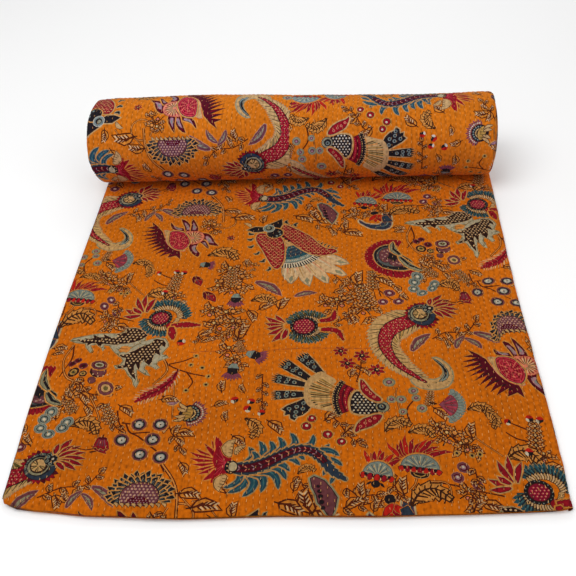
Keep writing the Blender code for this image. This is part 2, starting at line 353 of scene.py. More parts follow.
def leaf(base, tip, width, bend=0.1, veins=3):
    """A drawn leaf: dark-lined, with dark side veins and pale marks between them."""
    along = tip - base
    way = unit(along)
    t = np.array([0.0, 0.15, 0.4, 0.7, 1.0])
    w = np.array([0.0, 0.8, 1.0, 0.62, 0.0]) * width / 2
    spine = base + along * t + 1j * along * bend * np.sin(np.pi * t)
    blob("leafy", np.concatenate((spine + 1j * way * w, (spine - 1j * way * w)[-2:0:-1])), 1.4, 0.0, "twig")
    for k in range(veins):
        t = 0.12 + 0.62 * (k + 0.3) / veins
        root = base + along * t + 1j * along * bend * math.sin(math.pi * t)
        for side in (1, -1):
            reach = way * turned(side * 0.7) * width * 0.5
            pale = root + way * width * 0.2
            stroke("petal", (pale + reach * 0.12, pale + reach * 0.85), (1.5, 1.0))
            stroke("twig", (root, root + reach), (1.6, 1.0))
    stroke("twig", spine[:4], (2.0, 1.1))


def stem(points, width=1.5):
    """A stem: two dark lines with a paler one between them, or one dark line where it is thin."""
    line = smooth(points, 4, closed=False)
    width = width * 1.8
    stroke("twig", line, (width, width * 0.8))
    if width > 3.0:
        stroke("peach", line, (width * 0.4, width * 0.3))
    return line


def sprig(points, leaves=5, size=11.0, width=4.6):
    """A stem with leaves to both sides and one at its end, drawn a little fuller than its numbers say."""
    size, width, leaves = size * 1.12, width * 1.25, leaves + 2
    first, last = 0.1, 0.96
    line = stem(points, 1.2)
    for k in range(leaves):
        t = first + (last - first) * k / max(leaves - 1, 1)
        i = min(int(t * (len(line) - 1)), len(line) - 2)
        way = unit(line[i + 1] - line[i])
        side = 1 if k % 2 else -1
        long = size * (1 - 0.25 * t)
        leaf(line[i], line[i] + way * turned(side * 0.85) * long, width * (1 - 0.2 * t), 0.12 * side)
    way = unit(line[-1] - line[-2])
    leaf(line[-1], line[-1] + way * size * 0.9, width)


def toothed(spine, left, right, teeth, depth, lean=0.35):
    """A closed outline round a spine, with saw teeth: left and right are widths at equal steps along it."""
    s = np.asarray(spine, complex)
    far = np.concatenate(([0], np.cumsum(abs(np.diff(s)))))
    far /= far[-1]

    def side(widths, sign):
        t = np.linspace(0, 1, 2 * teeth + 1)
        w = np.interp(t, np.linspace(0, 1, len(widths)), widths)
        w = w + np.where(np.arange(len(t)) % 2, depth, 0.0) * np.minimum(1, 2 * w / max(widths))
        t[1::2] += lean / teeth
        t = np.clip(t, 0, 1)
        c = np.interp(t, far, s.real) + 1j * np.interp(t, far, s.imag)
        i = np.clip(np.searchsorted(far, t) - 1, 0, len(s) - 2)
        return c + sign * 1j * unit(s[i + 1] - s[i]) * w

    return np.concatenate((side(left, 1), side(right, -1)[::-1]))


def arc(centre, radius, start, end, n=12, squeeze=1.0):
    """Points of an arc between two angles in degrees."""
    a = np.linspace(math.radians(start), math.radians(end), n)
    return centre + radius * (np.cos(a) + 1j * squeeze * np.sin(a))


def band(paint, centre, inner, outer, start, end, n=12, **more):
    """A part of a ring between two angles in degrees."""
    points = np.concatenate((arc(centre, outer, start, end, n), arc(centre, inner, start, end, n)[::-1]))
    blob(paint, points, **{"edge": 0, **more})


def dots(paint, places, radius, n=6):
    """The same spot at each place."""
    for place in places:
        disc(paint, place, radius, n)


def dotted(paint, outline, pitch, radius, n=5, shift=0.5):
    """Dots on a staggered grid inside an outline."""
    p = np.asarray(outline, complex)
    rows = np.arange(p.imag.min() + pitch * 0.4, p.imag.max(), pitch * 0.87)
    for k, y in enumerate(rows):
        for x in np.arange(p.real.min() + (k % 2) * pitch * shift + pitch * 0.3, p.real.max(), pitch):
            if inside(p, x + 1j * y, radius * 1.5):
                disc(paint, x + 1j * y, radius, n)


def in_shape(places, points):
    """Which places lie inside the outline, by crossings of a line through each."""
    a, b = points, np.roll(points, -1)
    x, y = places.real[:, None], places.imag[:, None]
    rises = (a.imag > y) != (b.imag > y)
    height = np.where(b.imag == a.imag, 1, b.imag - a.imag)
    return (np.sum(rises & (x < (b.real - a.real) * (y - a.imag) / height + a.real), axis=1) % 2).astype(bool)


def inside(outline, place, clear):
    """Whether a place lies inside an outline and clear of its corners."""
    return in_shape(np.array([place]), outline)[0] and np.min(abs(outline - place)) > clear


def bristles(paints, spine, left, right, count, lean=0.5, wide=1.3):
    """Short strokes out to both sides of a spine."""
    n = len(spine)
    for k in range(count):
        f = (k + 0.5) / count
        i = min(max(int(f * (n - 1)), 1), n - 2)
        way = unit(spine[i + 1] - spine[i - 1])
        for sign, widths in ((1, left), (-1, right)):
            w = np.interp(f, np.linspace(0, 1, len(widths)), widths)
            if w > 1:
                root = spine[i] + sign * 1j * way * w * 0.45
                stroke(paints[(k + (sign > 0)) % len(paints)],
                       (root, spine[i] + (sign * 1j + lean) * way * w), (wide, wide * 0.7))


# ---------------------------------------------------------------- motifs, each about its own middle
# Where a motif's numbers are places in the repeat, m is its middle there.
def fan_flower():
    """Head to the right, five spotted wedges to the left."""
    m = 65 + 200j

    def wedge(base, tip, wide, narrow, spots):
        base, tip = base - m, tip - m
        way = unit(tip - base)
        side = 1j * way
        long = abs(tip - base)
        jag = [base + side * narrow / 2, base + way * long * 0.5 + side * (wide + narrow) * 0.27]
        for k in range(6):
            f = 0.5 - k / 5
            jag.append(base + way * long * (1.0 + 0.07 * math.cos(f * 3)) + side * wide * f)
            if k < 5:
                jag.append(base + way * long * 0.90 + side * wide * (f - 0.1))
        jag += [base + way * long * 0.5 - side * (wide + narrow) * 0.27, base - side * narrow / 2]
        put("hair", turned_out(jag, 2.2))
        put("black", jag)
        for f, t in spots:
            ringed(base + way * long * f + side * wide * t, ("grey", 3.5, 8), ("black", 1.9, 6))

    spots = ((0.82, 0.22), (0.84, -0.16), (0.60, 0.12), (0.58, -0.22), (0.38, 0.0))
    for base, tip, wide, narrow in ((57 + 240j, 24 + 282j, 22, 9), (40 + 228j, -4 + 266j, 21, 9),
                                    (34 + 218j, -17 + 234j, 19, 8), (33 + 200j, -17 + 199j, 19, 9)):
        wedge(base, tip, wide, narrow, spots)
    lower = xy(-24, -22, -35, -8, -45, -14, -60, -22, -68, -29, -62, -33, -63, -40, -56, -38, -55, -46,
            -49, -50, -45, -43, -37, -40, -29, -32)
    put("hair", turned_out(lower, 2.2))
    put("black", lower)
    for spot in xy(-57, -28, -46, -24, -47, -34, -37, -28, -48, -42, -36, -17):
        ringed(spot, ("grey", 3.5, 8), ("black", 1.9, 6))
    neck = smooth(xy(-11, 46, -1, 40, 13, 27, 5, 14, 2, -4, 4, -22, 7, -34, -11, -30, -25, -26, -33, -16,
            -36, -2, -34, 22, -25, 36), 3)
    put("hair", neck)
    for k in range(33):
        a = math.radians(112 + 140 * k / 32)
        root, end = 38 - 10j, 4 + 3j + (33 - 3 * (k % 2)) * turned(a)
        tone = ("cream", "olive", "tan", "brown", "cream", "green", "peach")[k % 7]
        stroke(tone, (root + (end - root) * (0.38 + 0.1 * (k % 3)), end), (1.1, 1.9))
    pivot = 72 - 12j

    def sweep(r0, r1, paint, a0=146, a1=206, **more):
        band(paint, pivot, r0, r1, a0, a1, 9, **more)

    sweep(58, 66, "black", 143, 207, edge=0.8, line="hair")
    for k in range(15):
        for r in (59.6, 64.6):
            disc("cream", pivot + r * toward(145 + 4.3 * k), 0.9, 5)
    sweep(38, 57, "crimson", edge=0.9, line="black")
    sweep(41, 44, "maroon", 148, 204)
    sweep(50, 53, "maroon", 147, 205)
    for k in range(12):
        disc("rose", pivot + 47 * toward(149 + 4.9 * k), 1.3, 5)
    for k in range(16):
        c = toward(147.5 + 3.8 * k)
        stroke("maroon" if k % 2 else "scale", (pivot + 38.5 * c, pivot + 41 * c), (1.4, 1.0))
        stroke("maroon", (pivot + 53.5 * c, pivot + 56.5 * c), (1.4, 1.0))
    cone = smooth(xy(43, 6, 35, -4, 32, -20, 35, -35, 49, -39, 65, -37, 75, -32, 75, -18, 67, -8, 55, 0), 3)
    blob("black", cone, 1.0, 1.6, "hair", "hair")
    dotted("white", cone, 6.0, 1.7, 6)
    for k in range(11):
        a = math.radians(-120 + 24 * k)
        c = 78 - 24j
        blob("hair", c + np.array([8 * turned((a - 0.2)), 13.0 * turned(a), 8 * turned((a + 0.2))]), 0.8)
    disc("ash", 78 - 24j, 9.8, 12, edge=1.0, line="black")
    disc("black", 77 - 24j, 7.0, 10)
    disc("grey", 77 - 23j, 3.8, 8)
    disc("black", 77.5 - 23j, 2.0, 7)
    for outline, spots in ((xy(49, 29, 54, 24, 61, 10, 69, -1, 76, -9, 74, -13, 66, -11, 56, -2, 49, 10),
            xy(53, 17, 57, 9, 62, 2, 67, -5)), (xy(76, -40, 73, -48, 66, -56, 54, -63, 43, -67, 38, -72,
            39, -64, 45, -52, 56, -45, 67, -40), xy(45, -61, 52, -55, 59, -51, 66, -46))):
        outline = smooth(outline, 2)
        blob("crimson", outline, 0.9, 2.0, "maroon", "hair")
        for c in spots:
            ringed(c, ("scale", 2.6, 7), ("maroon", 1.3, 5))


def winged_flower():
    """Two scaled wings, a striped blue fan and ragged pale petals."""
    m = -8 + 560j
    petals = xy(-5, -54, -5, -80, 0, -92, 8, -104, 12, -108, 20, -96, 24, -86, 28, -98, 36, -108, 43, -113,
            46, -98, 48, -84, 56, -92, 68, -103, 74, -105, 75, -92, 68, -75, 82, -80, 98, -86, 105, -83,
            96, -69, 82, -56, 96, -57, 110, -54, 105, -45, 90, -34, 72, -26, 48, -36)
    put("ash", turned_out(petals, 1.6))
    put("petal", petals)
    for tip, way in ((2 + 453j, -96), (33 + 449j, -80), (64 + 457j, -62), (93 + 477j, -38), (99 + 508j, -14)):
        d = toward(way)
        c = tip - m
        put("ash", (c, c - d * 12 + 4j * d, c - d * 20 + 1j * d, c - d * 16 - 2j * d, c - d * 12 - 4.5j * d))
    for k in range(26):
        a = math.radians(-93 + 3.0 * k)
        r0, r1 = 74, 96 + 12 * math.sin(k * 1.9)
        tone = ("hair", "white", "scale", "tan")[k % 4]
        stroke(tone, (8j + r0 * turned(a), 8j + r1 * turned(a)), (1.9, 0.9))

    def fan(r0, r1, paint, a0=-98, a1=-38, n=9, **more):
        band(paint, 8j, r0, r1, a0, a1, n, **more)

    fan(62, 75, "white", -96, -36, edge=0.6)
    for k in range(16):
        fan(64, 74.5, "black", -95 + 3.8 * k, -93 + 3.8 * k, n=2)
    fan(52, 61, "grey", -96, -36, edge=0.7, line="black")
    for k in range(18):
        disc("white", 8j + 56.5 * toward(-94 + 3.3 * k), 1.1, 5)
    blob("teal", np.concatenate(([4 + 2j], arc(8j, 52, -95, -36, 8))), 1.0, line="grey")
    blob("navy", np.concatenate(([8 - 8j], arc(8j, 46, -88, -44, 6))), 0.0)
    for k in range(9):
        for r in (22, 30, 38, 46):
            a = math.radians(-90 + 5.6 * k + (r % 4) * 1.4)
            if a > math.radians(-92) and a < math.radians(-38):
                disc("sea" if (k + r) % 3 else "grey", 8j + r * turned(a), 1.3, 4)
    blob("hair", xy(-5, 11, -1, -8, 14, -3), 0.7)
    left = smooth(xy(-52, 31, -34, 29, -16, 22, -7, 4, -4, -20, -5, -48, -13, -68, -22, -62, -33, -39,
            -43, -15, -54, 6, -57, 21), 3)
    right = smooth(xy(-18, 54, -4, 56, 8, 48, 22, 37, 40, 22, 55, 2, 69, -12, 82, -14, 89, -21, 75, -29,
            57, -31, 39, -24, 21, -9, 6, 7, -6, 18, -15, 36), 3)
    for k in range(15):
        f = k / 14
        root = complex(-6 + 84 * f, 618 - 74 * f - 10 * math.sin(3.1 * f)) - m
        ray("green" if k % 2 else "black", root, root + 9 * toward(95 - 50 * f), 3.2, 0.3, 0.0, 0.8, "hair")
    for wing in (left, right):
        blob("crimson", wing, 0.9, 1.3, "maroon", "hair")
        rows = np.arange(wing.imag.min() + 2, wing.imag.max(), 4.6)
        for k, y in enumerate(rows):
            for x in np.arange(wing.real.min() + (k % 2) * 3.6, wing.real.max(), 7.2):
                c = x + 1j * y
                if inside(wing, c, 2.4):
                    put("cream" if (k + int(x)) % 3 else "scale", (c - 2.5 + 0.9j, c - 1.3j, c + 2.5 + 0.9j,
                            c + 2.2 + 2.0j, c + 0.2j, c - 2.2 + 2.0j))
                    put("maroon", (c + 2.6 - 0.9j, c + 4.6 - 0.9j, c + 3.6 - 3.2j))
    for x, y, a in ((-71, 590, 150), (-71, 577, 185), (-69, 557, 195), (-57, 538, 205), (-46, 518, 215),
                    (-36, 496, 235), (-9, 622, 95), (6, 612, 70)):
        way = toward(a)
        ray("black", x + 1j * y - m, x + 1j * y - m + way * 11, 5.0, 0.4, 0.0, 1.2, "ash")
    blob("black", xy(-76, 41, -62, 51, -46, 51, -42, 41, -50, 36, -64, 36), 0.5, 1.8, glow="hair")
    blob("black", xy(-40, 57, -26, 66, -14, 76, -12, 60, -16, 46, -34, 48), 0.5, 1.8, glow="hair")
    disc("black", -24 + 33j, 15, 12, edge=0.0, halo=0.9, glow="hair")
    disc("grey", -36 + 47j, 10.5, 12, edge=0.9, line="white")
    disc("black", -36 + 47j, 6.5, 9)
    disc("ash", -37 + 48j, 4.0, 7)
    dots("grey", (-16 + 36j, -14 + 28j, -20 + 24j), 2.4, 6)
    dots("black", (-8 + 22j, -3 + 15j, 3 + 9j), 3.0, 7)
    stroke("edge", xy(-68, 52, -74, 62, -82, 68), (1.4, 0.8))
    ray("hair", -70 + 50j, -84 + 62j, 8, -0.2, 0.8)


def curved_plume():
    """A round head with a long hairy crimson plume that curls into a hook."""
    spine = smooth(xy(-23, -18, -40, -23, -58, -31, -72, -45, -78, -62, -78, -80, -71, -100, -58, -120,
            -40, -138, -20, -156), 4, False)
    left, right = (16, 22, 26, 22, 19, 19, 19, 15, 12, 8), (17, 30, 30, 26, 20, 17, 14, 11, 8, 6)
    put("ash", toothed(spine, [w + 0.8 for w in left], [w + 0.8 for w in right], 34, 3.6, 0.5))
    put("hair", toothed(spine, left, right, 34, 3.2, 0.5))
    hook = smooth(xy(-30, -142, -42, -150, -34, -163, -20, -171, -4, -172, 11, -166, 19, -151, 20, -132,
            14, -116, 2, -104, -9, -101, 3, -116, 8, -132, 3, -145, -8, -151, -20, -148), 2)
    blob("hair", hook, 0.8, 1.4, "ash", "ash")
    bristles(("olive", "cream", "tan", "green", "cream", "brown"), spine, left, right, 62, 0.5, 1.5)
    bristles(("cream", "tan", "green"), smooth(xy(-24, -156, -6, -161, 10, -154, 13, -134), 3, False),
            (6, 5, 4), (9, 8, 6, 4), 12)
    blob("grey", smooth(xy(-10, -102, 2, -111, 12, -126, 14, -141, 9, -151, -1, -155, 6, -144, 9, -132,
            3, -116), 2), 1.0, 0.0, "black")
    stroke("black", smooth(xy(-8, -105, 6, -120, 11, -136, 6, -149), 3, False), (1.2, 4.2, 1.2))
    body = toothed(spine, (9, 13, 13, 11, 9, 7.5, 5.5, 4, 2.6, 0.8), (9, 13, 13, 10, 8, 6.5, 5, 3.6, 2.4,
            0.8), 16, 0.0)
    blob("crimson", body, 1.5, line="black")
    dotted("rose", body, 4.4, 1.5, 4)
    dotted("petal", body + 1.1, 6.8, 1.1, 4, 0.3)
    dotted("maroon", body + 2.4j, 6.2, 1.2, 4, 0.3)
    head = -12 - 9j
    for k in range(19):
        a = math.radians(60 + 270 * k / 18)
        c = head + 18 * turned(a)
        ray("crimson" if k % 3 else "maroon", c, head + 30 * turned((a + 0.08)), 7, 0.0, 0.5)
    disc("slate", head, 22.5, 18, edge=1.2, line="black")
    for k in range(24):
        a = math.radians(15 * k)
        stroke("black" if k % 2 else "ash", (head + 18 * turned(a), head + 23 * turned((a + 0.1))),
               (1.8, 1.2))
    band("navy", head, 12, 22.5, 222, 372, 12, edge=0.6, line="black")
    disc("black", head - 2 + 1j, 18.0, 16)
    disc("ash", head - 3 + 0j, 15.5, 14)
    disc("brown", head - 2 + 1j, 13.4, 14)
    disc("hair", head - 3 + 1j, 10.6, 12)
    for k in range(12):
        a = math.radians(100 + 22 * k)
        tone = ("cream", "brown", "olive")[k % 3]
        stroke(tone, (head - 3 + 1j + 2 * turned(a), head - 3 + 1j + 10.5 * turned(a)), (1.3, 1.6))
    knob = 3 + 3j
    disc("black", knob, 12, 12, edge=0.7, line="ash")
    for k in range(7):
        c = knob + 8.2 * cmath.exp(2j * math.pi * k / 7)
        ringed(c, ("grey", 2.8, 7), ("black", 1.4, 5))
    disc("white", knob, 2.2, 6)
    for a, long, wide in ((62, 44, 8), (36, 44, 5), (18, 46, 5.5), (3, 46, 5.5), (-12, 44, 5.5),
            (-27, 38, 5.5), (84, 28, 6), (47, 36, 4), (27, 38, 4), (-44, 26, 5)):
        way = toward(a)
        ray("crimson", knob + way * 10, knob + way * long, wide, 0.05, 1.0, 0.9, "hair", 0.45, "maroon")


def wreath_flower(lobes=False):
    """A dotted core in a leafy ring, with crimson rays to the left and two horns to the right."""
    if lobes:
        c = 6 + 0j
        rings = ((c, 30, 22, 158), (c, 30, 205, 342))
        horns = ((26 + 12j, 50 + 38j, 8, -0.28), (28 - 8j, 62 - 30j, 8, 0.28))
        rays, root, core = ((128, 34), (148, 44), (168, 38), (188, 34), (210, 36), (234, 42),
                (254, 30)), -26 + 0j, 17
    else:
        c = 10 - 2j
        rings = ((c, 36, -4, 128), (c, 35, 182, 292))
        horns = ((24 - 20j, 71 - 21j, 10, 0.04), (24 - 24j, 30 - 52j, 10, 0.0))
        rays, root, core = ((96, 46), (72, 40), (118, 42), (168, 36), (194, 36), (148, 26)), -25 + 6j, 14
    for c, r, a0, a1 in rings:
        count = int((a1 - a0) / 8)
        step = math.radians(a1 - a0) / count
        for k in range(count):
            a = math.radians(a0) + step * (k + 0.5)
            way = turned(a)
            ray("green" if lobes and k % 2 else "teal", c + (r - 8) * way,
                c + (r + 8 + 1.5 * (k % 2)) * way * cmath.exp(0.12j), 8.0, 0.1, 0.8, 0.8, "ash", 0.4,
                "black")
        band("green" if lobes else "teal", c, r - 7, r + 1, a0, a1, 16, edge=0.5, line="black")
        for k in range(count):
            a = math.radians(a0) + step * (k + 0.5)
            way = turned(a)
            stroke("sea" if k % 3 else "olive", (c + (r - 5) * way, c + (r + 5) * way * cmath.exp(0.06j)),
                   (1.8, 0.8))
            stroke("black", (c + (r - 7) * way, c + (r + 3) * way * cmath.exp(0.16j)), (1.8, 0.9))
            ray("hair" if k % 2 else "petal", c + (r - 15) * way, c + (r - 5) * way * cmath.exp(0.1j), 5.4,
                0.1, 1.1)
    if not lobes:
        for k in range(8):
            a = math.radians(-62 + 8 * k)
            ray("hair", c + 18 * turned(a), c + 26 * turned(a), 5, 0, 0.7)
        disc("crimson", 22 - 20j, 7.5, 9, edge=0.9, line="black")
        disc("red", 23 - 19j, 3.6, 7)
    for base, tip, width, bend in horns:
        spine = smooth([base, base + (tip - base) * 0.5 + 1j * (tip - base) * bend, tip], 4, False)
        blob("crimson", toothed(spine, (width * 0.3, width * 0.5, 0.5), (width * 0.3, width * 0.5, 0.5), 8,
                1.4), 0.8, 1.0, "maroon")
    for a, long in rays:
        way = toward(a)
        ray("crimson", root + way * 8, root + way * long, 7.0, 0.06, 0.8, 1.2, "hair", 0.6, "maroon")
    middle = 3 - 2j if not lobes else 0j
    disc("black", middle, core + 6.0, 16, 1.0)
    for k in range(18):
        disc("grey", middle + (core + 3.6) * cmath.exp(2j * math.pi * k / 18), 1.0, 5)
    disc("brown", middle, core + 1.6, 16, 1.0)
    disc("wine", middle, core, 16, 1.0)
    dotted("rose", arc(middle, core - 0.5, 0, 340, 14), 5.4, 1.9, 5)
    dotted("petal", arc(middle, core - 0.5, 0, 340, 14) + 0.6, 5.4, 0.9, 4)
    dotted("maroon", arc(middle, core - 2, 0, 340, 14) + 2.7, 5.4, 0.9, 4)


def hand_plume():
    """A crimson fan at the left and a spiky blue feather to the right."""
    m = -72 + 70j
    barbs = ((-48, 80, -47, 101, 9, .1), (-37, 83, -33, 112, 9, .1), (-22, 88, -18, 112, 8, .1),
            (-8, 95, -6, 119, 8, .1), (9, 101, 11, 126, 8, .1), (26, 104, 43, 123, 8, .1), (38, 100, 65,
            106, 8, .1), (49, 88, 78, 87, 8, .1), (58, 74, 82, 70, 6, .1), (-56, 58, -71, 26, 10, .15),
            (-48, 56, -51, 20, 10, .15), (-42, 56, -27, 27, 10, .15), (-34, 58, -4, 31, 10, .15),
            (-26, 62, 6, 47, 9, .15), (-16, 68, 10, 61, 8, .12), (-6, 76, 24, 71, 8, .12), (8, 86, 30, 80,
            7, .1), (30, 92, 44, 80, 6, .1), (46, 86, 56, 54, 8, .15), (56, 72, 66, 40, 6, .1),
            (-40, 80, -42, 94, 6, .1), (-60, 60, -78, 34, 6, .1))
    for x0, y0, x1, y1, wide, bend in barbs:
        base, tip = x0 + 1j * y0 - m, x1 + 1j * y1 - m
        side = -1 if y1 > y0 else 1
        way = unit(tip - base)
        root = base - way * 7
        bow = side * (0.16 + bend) * abs(tip - root) * 1j * way
        line = [root, root + (tip - root) * 0.4 + bow * 0.9, root + (tip - root) * 0.75 + bow * 0.7, tip]
        line = smooth(line, 3, False)
        normal = 1j * np.gradient(line) / abs(np.gradient(line))
        w = np.interp(np.linspace(0, 1, len(line)), (0, 0.35, 0.75, 1), (wide * 0.62, wide * 0.45,
                wide * 0.24, 0.2))
        blob("teal", np.concatenate((line + normal * w, (line - normal * w)[-2::-1])), 1.2, 1.3, "navy",
             "ash")
        stroke("sea", line[1:-1], (wide * 0.26, 0.6))
    spine = smooth(xy(8, -4, 28, -4, 48, 3, 66, 14, 84, 24, 100, 28, 114, 24, 128, 10, 140, -8, 160, -24),
            4, False)
    blob("navy", toothed(spine, (8, 9, 8, 7, 7, 6, 6, 5, 4, 1), (8, 9, 8, 7, 7, 6, 6, 5, 4, 1), 20, 2.0),
         0.8, 1.0, "black", "ash")
    body = toothed(spine[:30], (6, 7, 6, 5, 4.5, 4, 3.5), (6, 7, 6, 5, 4.5, 4, 3.5), 12, 0.0)
    blob("maroon", body, 1.0, line="black")
    for k in range(1, len(spine) - 8, 2):
        way = unit(spine[k + 1] - spine[k])
        for side in (1, -1):
            stroke("lilac" if k % 3 else "scale", (spine[k] + way,
                    spine[k] + 1j * way * side * 4.2 - way * 2), (1.4, 1.4))
    stroke("black", spine[1:-6], (1.4, 1.4))
    for a, long, wide in ((151, 54, 6), (160, 58, 7), (170, 54, 7), (181, 50, 6), (193, 45, 6),
            (204, 44, 6), (122, 48, 8), (135, 50, 7), (112, 52, 11), (222, 42, 10)):
        root = -4 + 4j
        way = toward(a)
        ray("crimson", root, root + way * long, wide, 0.04, 0.5, 1.0, "peach", 0.5, "red")
    blob("crimson", smooth(xy(-20, 50, -12, 34, -2, 22, 1, 4, -2, -10, -12, -22, -24, -28, -22, -16,
            -20, -4, -25, 10, -22, 28), 2), 0.5, line="red")
    for k in range(7):
        stroke("rose", (-6 + 4j, -18 - 3 * (k % 2) + 1j * (30 - 9 * k)), (1.2, 0.7))
    for base, tip, wide, bend in ((-1 + 16j, 5 + 46j, 15, 0.25), (-4 - 16j, -12 - 42j, 14, -0.2),
            (6 + 20j, 20 + 34j, 8, 0.2)):
        ray("hair", base, tip, wide, bend, 1.0, 0.8)
        for k in range(4):
            c = base + (tip - base) * (0.2 + 0.18 * k)
            stroke("edge", (c - 4j * unit(tip - base), c + 4j * unit(tip - base)), (0.9, 0.9))
    disc("black", 2 - 2j, 10, 10, 1.2)
    disc("pale", 4 - 1j, 6.0, 10, 1.3)
    dots("hair", (-3 + 6j, -4 + 0j, -3 - 7j, 2 + 9j, 2 - 11j), 1.4, 5)


def thistle():
    """A wide dotted dome in a crown of dark spiky leaves."""
    for count, r, long, wide, tone in ((21, 25, 22, 12, "teal"), (16, 19, 20, 12, "slate")):
        for k in range(count):
            a = math.radians(-14 + 208 * (k + 0.3 * (count == 16)) / (count - 1))
            c = 10j + (r * math.cos(a) * 1.35 + 1j * r * math.sin(a) * 0.95)
            way = turned((a - 0.1 * math.cos(a)))
            ray("black", c, c + way * (long + 5 * (k % 2)), wide, 0.08, 0, 0.9, "hair", 0.3)
            ray(tone, c + way * 3, c + way * long * 0.85, wide * 0.6, 0.08, 0, fat=0.35)
            stroke("black", (c + way * 4, c + way * long * 0.8), (1.6, 0.9))
            for side in (0.6, -0.6):
                stroke("ash", (c + way * 5, c + way * 12 * turned(side)), (1.1, 0.8))
    dome = np.concatenate((arc(6j, 33, -8, 188, 16, 0.9), xy(-30, -4, -12, -9, 12, -9, 30, -4)))
    blob("dusk", dome, 1.6, line="black")
    dotted("lilac", dome, 6.6, 2.3, 6)
    dotted("cream", dome, 6.6, 1.2, 5)
    foot = np.concatenate((arc(-3j, 19, 0, 180, 8, 0.6), [-19 - 7j, 0 - 10j, 19 - 7j]))
    put("maroon", foot)
    dotted("lilac", foot, 5.0, 1.4, 5)
    for k in range(9):
        ray("hair", -40 + 10 * k - 6j, -34 + 10 * k - 13j, 5, 0.3, 1.1)


def pink_flower():
    """A ribbed pink dome with a long saw-toothed leaf and curled petals."""
    m = -205 + 575j
    saw = xy(-63, 52, -51, 41, -38, 26, -31, 8, -22, -7, -9, -19, 2, -29, 5, -40, 7, -55, -1, -44, -16, -52,
            -12, -36, -33, -51, -20, -29, -41, -45, -27, -22, -49, -38, -33, -15, -55, -30, -38, -8,
            -62, -21, -42, -1, -68, -11, -45, 7, -73, -2, -47, 15, -77, 10, -50, 24, -76, 23, -52, 32,
            -72, 35, -57, 40)
    blob("maroon", saw, 0.8, 1.4, "black", "peach")
    for x, y in ((-256, 606), (-252, 598), (-250, 588), (-248, 578), (-243, 570), (-236, 562), (-229, 554),
            (-220, 546), (-211, 538)):
        stroke("black", (x + 1j * y - m, x - 10 + 1j * y - 4j - m), (1.8, 1.0))
        stroke("crimson", (x - 2 + 1j * y - 4.5j - m, x - 9 + 1j * y - 8j - m), (1.5, 0.8))
    blob("hair", smooth(xy(-35, 31, -23, 29, -19, 11, -14, -9, -3, -21, 13, -27, 11, -32, -1, -29, -15, -19,
            -26, -3, -30, 15), 2), 0.7, line="rose")
    for outline in ((-230, 626, -225, 612, -214, 604, -198, 601, -200, 608, -214, 612, -224, 618),
                    (-209, 633, -198, 626, -190, 612, -186, 600, -196, 600, -201, 614),
                    (-188, 632, -181, 620, -176, 608, -178, 598, -188, 600, -188, 616),
                    (-166, 594, -154, 590, -146, 578, -141, 566, -133, 556, -148, 560, -158, 568, -163, 580),
                    (-186, 566, -184, 550, -178, 538, -167, 526, -165, 536, -172, 546, -174, 556, -172, 568),
                    (-168, 570, -160, 562, -150, 548, -154, 562, -160, 572)):
        outline = smooth(about(m, *outline), 2)
        blob("maroon", outline, 0.8, 1.2, "black", "peach")
        middle = outline.mean()
        put("lilac", middle + (outline - middle) * 0.55)
        put("grey", middle + (outline - middle) * 0.22)
    rays = smooth(xy(6, 25, 19, 27, 35, 23, 43, 11, 41, -3, 29, -11, 17, -9, 13, 5), 3)
    blob("scale", rays, 0.8, line="crimson")
    for k in range(26):
        a = math.radians(-110 + 9.5 * k)
        way = turned(a)
        stroke(("cream", "maroon", "petal", "crimson")[k % 4], (22 + 8j + way * 3,
                22 + 8j + way * (15 + 3 * (k % 2))), (0.9, 1.9))
    dome = smooth(xy(-20, 26, -7, 27, 5, 21, 13, 8, 17, -3, 15, -16, 8, -26, -3, -24, -13, -15, -19, -2,
            -21, 13), 3)
    blob("rose", dome, 1.2, 1.2, "maroon", "hair")
    middle = dome.mean()
    for size in (0.86, 0.66, 0.46, 0.24):
        ring = middle + (dome - middle) * size
        stroke("crimson", np.append(ring, ring[0]), (2.0, 2.0))
    for k in range(16):
        a = 2 * math.pi * k / 16
        stroke("maroon" if k % 2 else "scale", (middle + 5 * turned(a), middle + 18 * turned((a + 0.2))),
               (0.8, 1.0))


